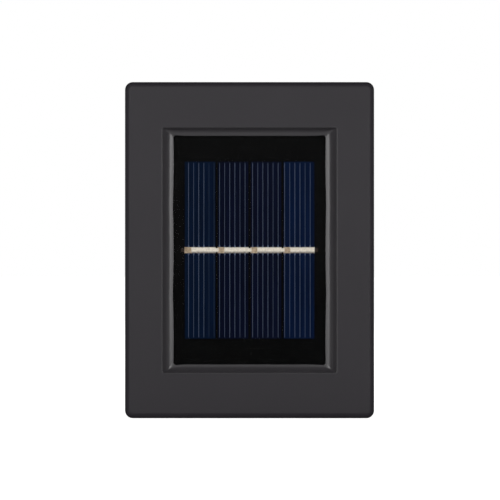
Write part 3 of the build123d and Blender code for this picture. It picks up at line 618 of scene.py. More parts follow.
def drawn_metal(name, hex_colour, roughness, scratch):
    """Plated or bare metal, with fine drawing marks of a real spacing in millimetres."""
    material, tree, shader, coords = start_material(name, roughness, Metallic=1.0)
    mottle(tree, coords, shader, linear(hex_colour), patch=1.5, spread=0.10)
    roughen(tree, coords, shader, size=scratch, detail=3.0, height=0.01, strength=0.5)
    return material


# ---------------------------------------------------------------- housing


def bezel_profile(sizes, steps=12):
    """Points (run, drop) from the bezel's lip to the window: a steep step, then a hollow slope that levels
    out towards the window."""
    run = sizes.bezel_side - sizes.step_run
    fall = sizes.bezel_drop - sizes.step_drop
    end = math.tan(sizes.slope_end)
    hollow = fall / run - end
    points = [(0.0, 0.0)]
    for t in (i / steps for i in range(steps + 1)):
        drop = sizes.step_drop + run * (end * t + hollow * (1 - (1 - t) ** 3))
        points.append((sizes.step_run + run * t, drop))
    return points


ON_A_SIDE = 0.9     # points further out than this, as a share of the way, lie on a side of the window
# all three as a share of the bow:
STAND_OUT = 0.45    # how far the middle of a long side stands out
SIDE_FLARE = 1.2    # how far its ends flare out at the corners
END_FLARE = 0.6     # how far the ends of a short side flare out there


def bow_in(vert, share, sizes):
    """Draws the window's long sides in beside their ends and lets the corners flare out, as the plastic
    does when it cools."""
    half_x, half_z = sizes.window_width / 2, sizes.window_height / 2
    across, up = abs(vert.co.x) / half_x, abs(vert.co.y) / half_z
    if across > ON_A_SIDE:
        peak = min(up / sizes.bow_peak, 1.0)
        past = max(up - sizes.bow_peak, 0.0) / (1 - sizes.bow_peak)
        pull = sizes.bow * ((1 - math.cos(math.pi * peak)) / 2 - STAND_OUT - SIDE_FLARE * past ** 2)
        vert.co.x -= math.copysign(pull * share, vert.co.x)
    if up > ON_A_SIDE:
        past = max(across - sizes.bow_peak, 0.0) / (1 - sizes.bow_peak)
        vert.co.y += math.copysign(sizes.bow * END_FLARE * past ** 2 * share, vert.co.y)


def housing_rings(bm, sizes, front, back, inner_front, ledge):
    """Rings of the shell in order, as (edges, place), and the range of the bezel's rings."""
    low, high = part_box("front_housing")
    width, height = high.x - low.x, high.z - low.z
    rings, places = [], []

    def outside(inset, depth, corner=None):
        corner = sizes.corner - inset if corner is None else corner
        rings.append(rounded(bm, width - 2 * inset, height - 2 * inset, corner, sizes.cuts))
        places.append(at_depth(depth))

    def window(side, end, corner, depth, share=0.0):
        edges = rounded(bm, sizes.window_width + 2 * side, sizes.window_height + 2 * end, corner, sizes.cuts)
        for vert in {vert for edge in edges for vert in edge.verts}:
            bow_in(vert, share, sizes)
        rings.append(edges)
        places.append(at_depth(depth))

    soft, lip, edge = sizes.soft_edge, sizes.lip, sizes.window_edge
    for along, inset in arc(soft, 3):
        outside(inset, back + along)
    for inset, along in arc(sizes.front_edge, 10):
        outside(inset, front - along)
    first = len(rings)
    for along, out in arc(lip, 4):
        window(sizes.bezel_side + out, sizes.bezel_end + out, sizes.bezel_corner + out, front - along / 2)
    squeeze = sizes.bezel_end / sizes.bezel_side
    for run, drop in bezel_profile(sizes)[1:]:
        share = run / sizes.bezel_side
        corner = sizes.bezel_corner + (sizes.window_corner - sizes.bezel_corner) * share
        side = sizes.bezel_side - run
        window(side, side * squeeze, corner, front - lip / 2 - drop, share)
    for along, left in arc(edge, 3)[1:]:
        depth = front - lip / 2 - sizes.bezel_drop - along
        window(left - edge, left - edge, sizes.window_corner, depth, 1.0)
    last = len(rings)
    window(-edge, -edge, sizes.window_corner, inner_front, 1.0)
    outside(sizes.side_wall, inner_front, sizes.inner_corner)
    outside(sizes.side_wall, ledge, sizes.inner_corner)
    outside(sizes.rim_skin, ledge)
    outside(sizes.rim_skin, back + soft)
    outside(sizes.rim_skin - soft, back)
    outside(soft, back)
    return rings, places, range(first, last - 1)


def cut_light_window(bm, sizes, side, height):
    """Opens one light window through a wall of the housing, with a small rounded edge outside."""
    half, middle = sizes.light_length / 2, sizes.light_depth
    near, far = middle - sizes.light_width / 2, middle + sizes.light_width / 2
    margin = sizes.light_corner
    outer_z, inner_z = side * height / 2, side * (height / 2 - sizes.side_wall)

    def inside(vert, z):
        spare = 10 * WELD
        return (abs(vert.co.z - z) < spare and abs(vert.co.x) < half + margin + spare
                and near - margin - spare < -vert.co.y < far + margin + spare)

    steps = arc(sizes.soft_edge, 3)
    rings = [rounded(bm, sizes.light_length + 2 * out, sizes.light_width + 2 * out, margin + out)
             for _, out in steps + [(0, 0)]]
    places = [at_height(outer_z - side * down, middle) for down, _ in steps] + [at_height(inner_z, middle)]
    loft(bm, rings, places)
    for z, ring in ((outer_z, rings[0]), (inner_z, rings[-1])):
        patch = [face for face in bm.faces if all(inside(vert, z) for vert in face.verts)]
        border = {edge for face in patch for edge in face.edges
                  if not all(other in patch for other in edge.link_faces)}
        bmesh.ops.delete(bm, geom=patch, context="FACES")
        bmesh.ops.triangle_fill(bm, use_beauty=True, edges=[*border, *ring], normal=(0, 0, side))


def add_ribs(bm, sizes, front):
    """Ribs on the side walls, the frame that holds the panel, the lens rails and the four screw bosses."""
    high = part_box("front_housing")[1]
    wall_x, wall_z = high.x - sizes.side_wall, high.z - sizes.side_wall
    root = -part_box("cover_screws")[0].y
    panel_low, panel_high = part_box("panel_board")
    lens_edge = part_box("top_lens")[1].x
    boss_back = sizes.boss_back
    rib_back = sizes.rib_back
    bite, half, web, soft = sizes.bite, sizes.rib / 2, sizes.web / 2, sizes.soft_edge / 2
    for side in (-1, 1):
        for row in (-1, 0, 1):
            z = row * sizes.rib_spacing
            ends = sorted((side * (wall_x - sizes.rib_reach), side * (wall_x + bite)))
            block(bm, (ends[0], -front - bite, z - half), (ends[1], -rib_back, z + half), soft)
        for end in (-1, 1):
            x = side * (lens_edge + half + sizes.fit)
            ends = sorted((end * (wall_z - sizes.rail_reach), end * (wall_z + bite)))
            block(bm, (x - half, -front - bite, ends[0]), (x + half, -rib_back, ends[1]), soft)
            boss_x, boss_z = side * (high.x - sizes.boss_inset), end * (high.z - sizes.boss_inset)
            hole = sizes.boss_hole / 2
            pilot = root + sizes.pilot_spare
            points = ((sizes.boss / 2, front + bite), (sizes.boss / 2, boss_back), (hole, boss_back),
                      (hole, pilot))
            lathe(bm, points, at_depth(0, boss_x, boss_z), segments=32)
            ends = sorted((boss_x, side * (wall_x + bite)))
            block(bm, (ends[0], -front - bite, boss_z - web), (ends[1], -boss_back, boss_z + web))
            ends = sorted((boss_z, end * (wall_z + bite)))
            block(bm, (boss_x - web, -front - bite, ends[0]), (boss_x + web, -boss_back, ends[1]))
    panel = panel_high - panel_low
    inner = (panel.x + 2 * sizes.panel_fit, panel.z + 2 * sizes.panel_fit)
    outer = (inner[0] + 2 * sizes.rib, inner[1] + 2 * sizes.rib)
    base, edge = front + bite, front - sizes.frame_height
    turn = ((outer, base), (outer, edge), (inner, edge), (inner, base), (outer, base))
    loft(bm, [rounded(bm, *size, sizes.soft_edge) for size, _ in turn],
         [at_depth(depth) for _, depth in turn])


def build_housing(sizes):
    """Shell of the front housing with its bezel (second finish), its light windows and what stands in it."""
    low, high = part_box("front_housing")
    front, back = -low.y, -high.y
    inner_front = -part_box("panel_seal")[0].y
    ledge = -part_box("cover_gasket")[0].y
    bm = bmesh.new()
    rings, places, bezel = housing_rings(bm, sizes, front, back, inner_front, ledge)
    strips = loft(bm, rings, places)
    for number in bezel:
        for face in strips[number]:
            face.material_index = 1
    bmesh.ops.remove_doubles(bm, verts=bm.verts, dist=WELD)
    half, margin = sizes.light_length / 2 + sizes.light_corner, sizes.light_width / 2 + sizes.light_corner
    for point, normal in (((half, 0, 0), (1, 0, 0)), ((-half, 0, 0), (1, 0, 0)),
                          ((0, -sizes.light_depth - margin, 0), (0, 1, 0)),
                          ((0, -sizes.light_depth + margin, 0), (0, 1, 0))):
        bmesh.ops.bisect_plane(bm, geom=bm.verts[:] + bm.edges[:] + bm.faces[:], plane_co=point,
                               plane_no=normal, dist=PLANE)
    for side in (1, -1):
        cut_light_window(bm, sizes, side, high.z - low.z)
    add_ribs(bm, sizes, inner_front)
    return bm


# ---------------------------------------------------------------- light windows


def build_lens(sizes):
    """Clear plate with a rounded edge, its flange, and the half-round bulge on its inner side."""
    low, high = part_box("top_lens")
    flange_top = high.z - sizes.lens_plate
    flange_low = flange_top - sizes.lens_flange
    middle = sizes.light_depth
    length, width = sizes.light_length - 2 * sizes.fit, sizes.light_width - 2 * sizes.fit
    soft = sizes.soft_edge
    bm = bmesh.new()
    rings = [rounded(bm, high.x - low.x, high.y - low.y, soft) for _ in range(2)]
    places = [at_height(flange_low, middle), at_height(flange_top, middle)]
    rings.append(rounded(bm, length, width, sizes.light_corner))
    places.append(at_height(flange_top, middle))
    for inset, down in arc(soft, 4):
        rings.append(rounded(bm, length - 2 * inset, width - 2 * inset, sizes.light_corner - inset))
        places.append(at_height(high.z - down, middle))
    loft(bm, rings, places, capped=True)
    half = sizes.light_width / 2 - sizes.crown_side
    run = sizes.light_length - 2 * sizes.crown_end
    shape = at_height(flange_low, middle) @ Matrix.Rotation(math.radians(90), 4, "Y")
    crown = bmesh.ops.create_cone(bm, cap_ends=True, segments=96, radius1=1, radius2=1, depth=1)["verts"]
    bmesh.ops.transform(bm, matrix=shape @ Matrix.Diagonal((flange_low - low.z, half, run, 1)), verts=crown)
    geometry = crown + list({e for v in crown for e in v.link_edges})
    geometry += list({f for v in crown for f in v.link_faces})
    bmesh.ops.bisect_plane(bm, geom=geometry, plane_co=(0, 0, flange_low + sizes.bite), plane_no=(0, 0, 1),
                           clear_outer=True, dist=PLANE)
    bmesh.ops.holes_fill(bm, edges=[edge for edge in bm.edges if edge.is_boundary], sides=0)
    return bm


def build_phosphor(side):
    """Yellow gel that fills the cups of one pair of diodes, with a slightly domed top."""
    name = f"{side}_leds"
    low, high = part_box(name)
    sizes = settings().lights
    up = 1 if side == "top" else -1
    mouth = high.z if up > 0 else low.z
    bm = bmesh.new()
    for x in (low.x + sizes.led_length / 2, high.x - sizes.led_length / 2):
        rings, places = [], []
        for inset, down in ((sizes.cup_rim + sizes.cup_slope, sizes.cup_depth),
                            (sizes.cup_rim, sizes.meniscus),
                            (sizes.cup_rim * 3, sizes.meniscus / 2)):
            size = (sizes.led_length - 2 * inset, high.y - low.y - 2 * inset)
            rings.append(rounded(bm, *size, sizes.cup_corner))
            places.append(Matrix.Translation((x, -settings().housing.light_depth, mouth - up * down)))
        loft(bm, rings, places, capped=True)
    return bm


# ---------------------------------------------------------------- fixings


THREAD_DEPTH = 0.3    # depth of a thread, as a share of its pitch
THREAD_STEPS = 16     # straight steps in one turn of a thread
COIL_STEPS = 24       # and in one turn of a coil
RECESS_TAPER = 0.75   # size of a cross recess at its floor against its mouth


def screw(bm, sizes, axis, length, head, height, shank, pitch):
    """Cheese-head screw along an axis: a head with a rounded edge and a cross recess, and a threaded shank.
    It is drawn with its seat at zero and its head below."""
    soft = sizes.head_edge
    rings = [disc(bm, head / 2), disc(bm, head / 2)]
    places = [Matrix(), Matrix.Translation((0, 0, -height + soft))]
    for inset, up in arc(soft, 4)[1:]:
        rings.append(disc(bm, head / 2 - inset))
        places.append(Matrix.Translation((0, 0, up - height)))
    loft(bm, rings, [axis @ place for place in places])
    # the cross: a plus-shaped patch that is pushed into the head
    before = set(bm.verts)
    bmesh.ops.create_grid(bm, x_segments=3, y_segments=3, size=head * sizes.recess_share / 2)
    cross = [vert for vert in bm.verts if vert not in before]
    limit = head * sizes.recess_share / 6 + WELD
    for vert in cross:
        for i in (0, 1):
            if abs(vert.co[i]) < limit:
                vert.co[i] = math.copysign(sizes.recess_width / 2, vert.co[i])
    corners = [face for face in {f for v in cross for f in v.link_faces}
               if min(abs(face.calc_center_median().x), abs(face.calc_center_median().y)) > limit / 2]
    bmesh.ops.delete(bm, geom=corners, context="FACES")
    cross = [vert for vert in cross if vert.is_valid]
    faces = list({face for vert in cross for face in vert.link_faces})
    rim = [edge for edge in {e for f in faces for e in f.edges} if edge.is_boundary]
    pushed = bmesh.ops.extrude_face_region(bm, geom=faces)["geom"]
    floor = [vert for vert in pushed if isinstance(vert, bmesh.types.BMVert)]
    bmesh.ops.delete(bm, geom=[face for face in faces if face.is_valid], context="FACES_ONLY")
    bmesh.ops.scale(bm, vec=(RECESS_TAPER, RECESS_TAPER, 1), verts=floor)
    bmesh.ops.translate(bm, vec=(0, 0, sizes.recess_depth), verts=floor)
    top = axis @ Matrix.Translation((0, 0, -height))
    bmesh.ops.transform(bm, matrix=top, verts=list(set(cross + floor)))
    bmesh.ops.triangle_fill(bm, use_beauty=True, edges=rim + rings[-1], normal=axis.col[2].xyz)
    # underside, shank with a pointed end, and the thread's ridge
    root = shank / 2 - pitch * THREAD_DEPTH
    outline = ((head / 2, 0), (root, 0), (root, length - shank / 2), (root * 0.3, length))
    lathe(bm, outline, axis, segments=24)
    foot = root * 0.9
    ridge = [bmesh.ops.create_vert(bm, co=point)["vert"][0]
             for point in ((foot, 0, pitch * 0.2), (shank / 2, 0, pitch * 0.5), (foot, 0, pitch * 0.8))]
    profile = bmesh.ops.contextual_create(bm, geom=ridge)["faces"]
    turns = math.floor((length - shank / 2) / pitch) - 1
    made = set(bm.verts) - set(ridge)
    bmesh.ops.spin(bm, geom=profile, cent=(0, 0, 0), axis=(0, 0, 1), dvec=(0, 0, pitch / THREAD_STEPS),
                   angle=math.tau * turns, steps=THREAD_STEPS * turns)
    bmesh.ops.transform(bm, matrix=axis, verts=[vert for vert in bm.verts if vert not in made])


def coil(bm, axis, wire, start, end, length, turns):
    """Coil spring along an axis, as a round wire that is spun up and then drawn in towards its end."""
    ring = bmesh.ops.create_circle(bm, cap_ends=True, segments=10, radius=wire / 2, matrix=(
        Matrix.Translation((start, 0, wire / 2)) @ Matrix.Rotation(math.radians(90), 4, "X")))["verts"]
    face = list(ring[0].link_faces)
    before = set(bm.verts) - set(ring)
    steps = COIL_STEPS * turns
    bmesh.ops.spin(bm, geom=face, cent=(0, 0, 0), axis=(0, 0, 1), dvec=(0, 0, (length - wire) / steps),
                   angle=math.tau * turns, steps=steps)
    made = [vert for vert in bm.verts if vert not in before]
    for vert in made:
        share = min(max((vert.co.z - wire / 2) / (length - wire), 0), 1)
        out = Vector((vert.co.x, vert.co.y))
        vert.co.xy = out * ((out.length - start * share + end * share) / out.length)
    bmesh.ops.transform(bm, matrix=axis, verts=made)


CLEAR_OF_AXIS = 0.12    # where the button's profile starts and ends, as a share of its head's radius


def build_boot(sizes):
    """Soft button: a domed head, a thin web that gives way, and a flange."""
    low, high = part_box("button_boot")
    z = (low.z + high.z) / 2
    head, flange = sizes.boot_head / 2, (high.x - low.x) / 2
    back, front = -high.y, -low.y
    web = sizes.boot_web
    bm = bmesh.new()
    core = head * CLEAR_OF_AXIS
    profile = [(core, back + sizes.boot_dimple), (head / 2, back + sizes.boot_dimple * 0.6)]
    profile += [(head - inset, back + along) for along, inset in arc(sizes.boot_edge, 5)]
    profile += [(head, front - web * 2), (head + web * 0.4, front - web * 1.2),
                (head + web * 1.2, front - web), (head + sizes.boot_web_width, front - web),
                (head + sizes.boot_web_width, front - sizes.boot_flange),
                (flange - web / 2, front - sizes.boot_flange), (flange, front - sizes.boot_flange + web / 2),
                (flange, front), (sizes.boot_hole, front), (sizes.boot_hole, back + sizes.boot_top),
                (core, back + sizes.boot_top)]
    lathe(bm, profile, at_depth(0, 0, z), segments=64)
    return bm


def give_way(piece):
    """Gives a soft piece a mesh of its own."""
    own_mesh(piece)


def build_battery(sizes):
    """Cell with its shrunk sleeve (first finish), and its bare steel ends and nub (second finish)."""
    low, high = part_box("battery_cell")
    radius, depth, z = (high.z - low.z) / 2, -(low.y + high.y) / 2, (low.z + high.z) / 2
    edge, nub = sizes.cell_edge, sizes.nub
    shoulder = high.x - sizes.nub_length
    bm = bmesh.new()
    # the profile starts and ends a little clear of the axis, where the caps close it
    left = [(radius * 0.1, low.x), (radius - 2 * edge, low.x)]
    left += [(radius - inset, low.x + along) for along, inset in arc(edge, 5)]
    right = [(radius - inset, shoulder - along) for inset, along in arc(edge, 5)]
    right += [(radius - 2 * edge, shoulder), (nub / 2 + edge, shoulder - edge / 2)]
    tip = [(nub / 2, shoulder - edge / 2), (nub / 2, high.x - edge / 2), (nub / 2 - edge / 2, high.x),
           (nub * 0.05, high.x)]
    strips = lathe(bm, left + right + tip, along_x(0, depth, z), segments=64)
    bare = strips[:1] + strips[-len(tip) - 1:]
    for face in (face for strip in bare for face in strip):
        face.material_index = 1
    return bm


# ---------------------------------------------------------------- operators


class FENCELIGHT_OT_housing(bpy.types.Operator):
    """Model the front housing with its bezel and its two light windows"""
    bl_idname = "fence_light.housing"
    bl_label = "Front housing"

    def execute(self, context):
        bm = build_housing(settings().housing)
        finish_piece(bm, "housing_shell", [etched_charcoal_abs(), polished_charcoal_abs()],
                     ["front_housing"])
        return {"FINISHED"}


class FENCELIGHT_OT_solar_panel(bpy.types.Operator):
    """Dress the solar cells, their ribbons and their board, and cast the clear resin over them"""
    bl_idname = "fence_light.solar_panel"
    bl_label = "Solar panel"

    def execute(self, context):
        sizes = settings().panel
        # Solder mask sprayed on laminate: dead black, as the resin on it takes its shine away.
        dress("panel_board", plain_finish(
            "black_solder_mask", "#020202", roughness=0.5, patch=3.0, spread=0.2, Specular_IOR_Level=0.02))
        # Foam cut from a closed-cell sheet: cut bubbles of 0.4 mm and no shine.
        dress("panel_seal", plain_finish(
            "closed_cell_foam", "#141414", roughness=0.95, patch=2.0, spread=0.2, grain=0.4))
        dress("cell_ribbons", tinned_ribbon())
        for number, first, bold, tone in CELLS:
            dress(f"solar_cell_{number}", printed_silicon(number, first * MM, bold, linear(tone)))
        low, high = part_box("panel_encapsulant")
        bm = bmesh.new()
        block(bm, low, high - Vector((0, sizes.resin_gap, 0)), sizes.resin_edge)
        # Epoxy poured over the cells and left to level: as clear as water, glossy, with a slow ripple.
        epoxy = clear_moulding("cast_clear_epoxy", "#fbfcfd", roughness=0.03, ior=1.52)
        finish_piece(bm, "resin_sheet", [epoxy], ["panel_encapsulant"])
        return {"FINISHED"}


class FENCELIGHT_OT_light_windows(bpy.types.Operator):
    """Model the clear lenses and the gel in the diodes, and dress the reflectors and the boards"""
    bl_idname = "fence_light.light_windows"
    bl_label = "Light windows"

    def execute(self, context):
        sizes = settings().housing
        # Polycarbonate off a polished tool: clear with a cool cast, and a sharp gloss.
        clear = clear_moulding("moulded_clear_polycarbonate", "#f4f8f8", roughness=0.04, ior=1.585)
        # White ABS off a polished tool: even and bright, with a faint orange peel of 0.8 mm.
        white = plain_finish(
            "gloss_white_abs", "#e6e5e1", roughness=0.22, patch=8.0, spread=0.03, grain=0.8)
        # White solder mask on an aluminium board: chalky, with a dull sheen.
        mask = plain_finish(
            "white_solder_mask", "#dedfdb", roughness=0.4, patch=2.0, spread=0.04, grain=0.2)
        # Polyamide moulded round the diode's frame: warm white and matt.
        package = plain_finish(
            "moulded_white_polyamide", "#e9e8e0", roughness=0.4, patch=1.0, spread=0.04, grain=0.1)
        # Silicone gel full of phosphor powder, dispensed into the cup: egg yellow, with a wet gloss.
        gel = plain_finish("phosphor_gel", "#e6c63a", roughness=0.2, patch=0.5, spread=0.10)
        for side in ("top", "bottom"):
            bm = build_lens(sizes)
            if side == "bottom":
                bmesh.ops.scale(bm, vec=(1, 1, -1), verts=bm.verts)
            finish_piece(bm, f"{side}_lens_moulding", [clear], [f"{side}_lens"])
            soften_node(f"{side}_reflector", f"{side}_reflector_moulding", sizes.soft_edge / 2, white)
            finish_piece(build_phosphor(side), f"{side}_diode_gel", [gel])
            dress(f"{side}_led_board", mask)
            dress(f"{side}_leds", package)
        return {"FINISHED"}


class FENCELIGHT_OT_back_cover(bpy.types.Operator):
    """Soften the back cover's edges, and model its screws and its soft button"""
    bl_idname = "fence_light.back_cover"
    bl_label = "Back cover"

    def execute(self, context):
        sizes = settings().fixings
        soften_node("back_cover", "cover_moulding", settings().housing.soft_edge / 2,
                    bpy.data.materials["etched_charcoal_abs"])
        # Zinc plated in a barrel: blue-grey and bright, with fine rubbing marks.
        zinc = drawn_metal("zinc_plated_steel", "#b4b8be", roughness=0.3, scratch=0.15)
        for node, piece, height, shank, faces_back in (
                ("cover_screws", "cover_screw_set", sizes.cover_head, sizes.cover_shank, True),
                ("board_screws", "board_screw_set", sizes.board_head, sizes.board_shank, False)):
            low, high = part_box(node)
            bm = bmesh.new()
            for x, z, head in self.screw_places(node):
                seat = -high.y + height if faces_back else -low.y - height
                axis = at_depth(seat, x, z)
                if not faces_back:
                    axis = axis @ Matrix.Rotation(math.pi, 4, "X")
                screw(bm, sizes, axis, high.y - low.y - height, head, height, shank, sizes.pitch)
            finish_piece(bm, piece, [zinc], [node])
        # Silicone out of a blasted mould: black and velvety.
        rubber = plain_finish(
            "moulded_black_silicone", "#111112", roughness=0.62, patch=3.0, spread=0.15, grain=0.25)
        boot = finish_piece(build_boot(sizes), "soft_button", [rubber], ["button_boot"])
        give_way(boot)
        # The same silicone in grey, for the gasket.
        dress("cover_gasket", plain_finish(
            "moulded_grey_silicone", "#5a5a5c", roughness=0.7, patch=3.0, spread=0.08, grain=0.25))
        return {"FINISHED"}

    def screw_places(self, node):
        """Middle and head diameter of each screw of a node, told from the corners of its box."""
        low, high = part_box(node)
        if high.z - low.z > high.x - low.x:
            head = 2 * (settings().housing.boss_inset - (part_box("front_housing")[1].x - high.x))
            return [(x, z, head) for x in (low.x + head / 2, high.x - head / 2)
                    for z in (low.z + head / 2, high.z - head / 2)]
        head = high.z - low.z
        return [(x, (low.z + high.z) / 2, head) for x in (low.x + head / 2, high.x - head / 2)]


class FENCELIGHT_OT_battery(bpy.types.Operator):
    """Model the battery cell and its coil, and dress its holder and its contacts"""
    bl_idname = "fence_light.battery"
    bl_label = "Battery"

    def execute(self, context):
        sizes = settings().fixings
        # Nickel plated strip and wire: warm and bright, with drawing marks of 0.2 mm.
        nickel = drawn_metal("nickel_plated_steel", "#b8b2a6", roughness=0.25, scratch=0.2)
        # PVC sleeve shrunk on with hot air: green and glossy, with a slight orange peel.
        sleeve = plain_finish(
            "shrunk_pvc_sleeve", "#1e6a3c", roughness=0.28, patch=8.0, spread=0.05, grain=0.6)
        finish_piece(build_battery(sizes), "battery_in_sleeve", [sleeve, nickel],
                     ["battery_cell"])
        # Black ABS off a lightly blasted tool: an even satin.
        black = plain_finish(
            "satin_black_abs", "#171718", roughness=0.4, patch=4.0, spread=0.1, grain=0.3)
        soften_node("battery_holder", "battery_cradle", settings().housing.soft_edge / 2, black)
        low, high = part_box("battery_cell")
        depth, z = -(low.y + high.y) / 2, (low.z + high.z) / 2
        spring_low, spring_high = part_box("battery_spring")
        start = spring_low.x + sizes.contact
        bm = bmesh.new()
        bm.from_mesh(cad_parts["battery_spring"].data)
        bmesh.ops.bisect_plane(bm, geom=bm.verts[:] + bm.edges[:] + bm.faces[:],
                               plane_co=(start, 0, 0), plane_no=(1, 0, 0), clear_outer=True, dist=PLANE)
        bmesh.ops.remove_doubles(bm, verts=bm.verts, dist=WELD)
        bmesh.ops.holes_fill(bm, edges=[edge for edge in bm.edges if edge.is_boundary], sides=0)
        coil(bm, along_x(start, depth, z), sizes.battery_wire, sizes.battery_base / 2,
             sizes.battery_tip / 2, spring_high.x - start, turns=3)
        finish_piece(bm, "battery_coil", [nickel], ["battery_spring"])
        dress("battery_plate", nickel)
        dress("holder_tape", bpy.data.materials["closed_cell_foam"])
        return {"FINISHED"}


class FENCELIGHT_OT_switch(bpy.types.Operator):
    """Model the switch, its spring and the button's cap and ring"""
    bl_idname = "fence_light.switch"
    bl_label = "Switch and button"

    def execute(self, context):
        sizes, soft = settings().fixings, settings().housing.soft_edge / 3
        black = bpy.data.materials["satin_black_abs"]
        for node, piece in (("switch_body", "switch_case"), ("boot_retainer", "button_ring")):
            soften_node(node, piece, soft, black)
        soften_node("button_cap", "button_core", soft, black, BUTTON)
        white = bpy.data.materials["gloss_white_abs"]
        soften_node("switch_plunger", "switch_post", soft, white, BUTTON)
        nickel = bpy.data.materials["nickel_plated_steel"]
        low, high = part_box("switch_spring")
        bm = bmesh.new()
        coil(bm, at_depth(-high.y, 0, (low.z + high.z) / 2), sizes.spring_wire, sizes.spring / 2,
             sizes.spring / 2, high.y - low.y, turns=4)
        spring = finish_piece(bm, "switch_coil", [nickel], ["switch_spring"])
        give_way(spring)
        dress("switch_pins", nickel)
        return {"FINISHED"}


class FENCELIGHT_OT_circuit_board(bpy.types.Operator):
    """Soften the parts on the circuit board, and dress them, the board and the leads"""
    bl_idname = "fence_light.circuit_board"
    bl_label = "Circuit board"

    def execute(self, context):
        soft = settings().housing.soft_edge / 4
        dress("main_board", green_board())
        # Epoxy moulded round chips and resistors: black, matt, with fine filler grain.
        epoxy = plain_finish(
            "moulded_epoxy", "#161617", roughness=0.55, patch=1.0, spread=0.15, grain=0.1)
        # Ferrite powder pressed and fired: dark grey, matt and grainy.
        ferrite = plain_finish(
            "pressed_ferrite", "#343436", roughness=0.6, patch=1.0, spread=0.2, grain=0.15)
        # Aluminium drawn into a can: pale and bright, with soft drawing marks.
        can = drawn_metal("drawn_aluminium_can", "#c4c6c8", roughness=0.3, scratch=0.3)
        for node, piece, material, slot in (
                ("controller_chip", "controller", epoxy, "chip_epoxy"),
                ("storage_inductor", "inductor", ferrite, "ferrite"),
                ("board_capacitor", "capacitor_can", can, "nickel_steel")):
            soften_node(node, piece, soft, material)
        for name in ("board_resistors", "led_resistors"):
            dress(name, epoxy)
        for name in ("panel_leads", "top_led_leads", "bottom_led_leads", "battery_leads"):
            dress(name, paired_insulation(name))
        return {"FINISHED"}


FLOOR_HALF = 6.0               # half the side of the floor
PAPER = "#e6e6e6"              # its paper, as lamps light it
PAPER_GLOW = 0.9               # its own light to the camera, and the scale of what reflections show
FLOOR_FADE = (-0.1, 0.6)       # in reflections the floor brightens over this stretch of Y
FLOOR_TONES = (0.015, 0.9)     # from the first of these to the second
BAND_START = (-0.06, -0.16)    # stretch of Y over which the band before the light sets in
BAND_END = (-0.5, -0.3)        # and the one over which it fades out again
ROOM_FADE = 22.0               # how fast the room darkens away from behind the light, in reflections
ROOM_FLOOR = 0.02              # brightness that is left of it on the camera's side
ASIDE = (-0.95, -0.7)          # directions, as Y, between which light under the resin sets in
FACING_POWER = 6.0             # how narrow the bright front and back of the room are
FACING, ABOVE = 4.0, 0.5       # their brightness and that of the ceiling, as a share of the fill
# each soft box: its name, place, width and height, its power's setting, and whether glossy pieces mirror it
SOFT_BOXES = (
    ("high_box", (0.0, -0.9, 0.5), (0.9, 0.4), "end_power", True),
    ("left_strip", (-0.33, -1.0, 0.0), (0.28, 0.8), "strip_power", True),
    ("left_rear", (-0.7, 1.1, 0.4), (0.5, 0.5), "back_power", False),
    ("right_strip", (0.33, -1.0, 0.0), (0.28, 0.8), "strip_power", True),
    ("right_rear", (0.7, 1.1, 0.4), (0.5, 0.5), "back_power", False),
)


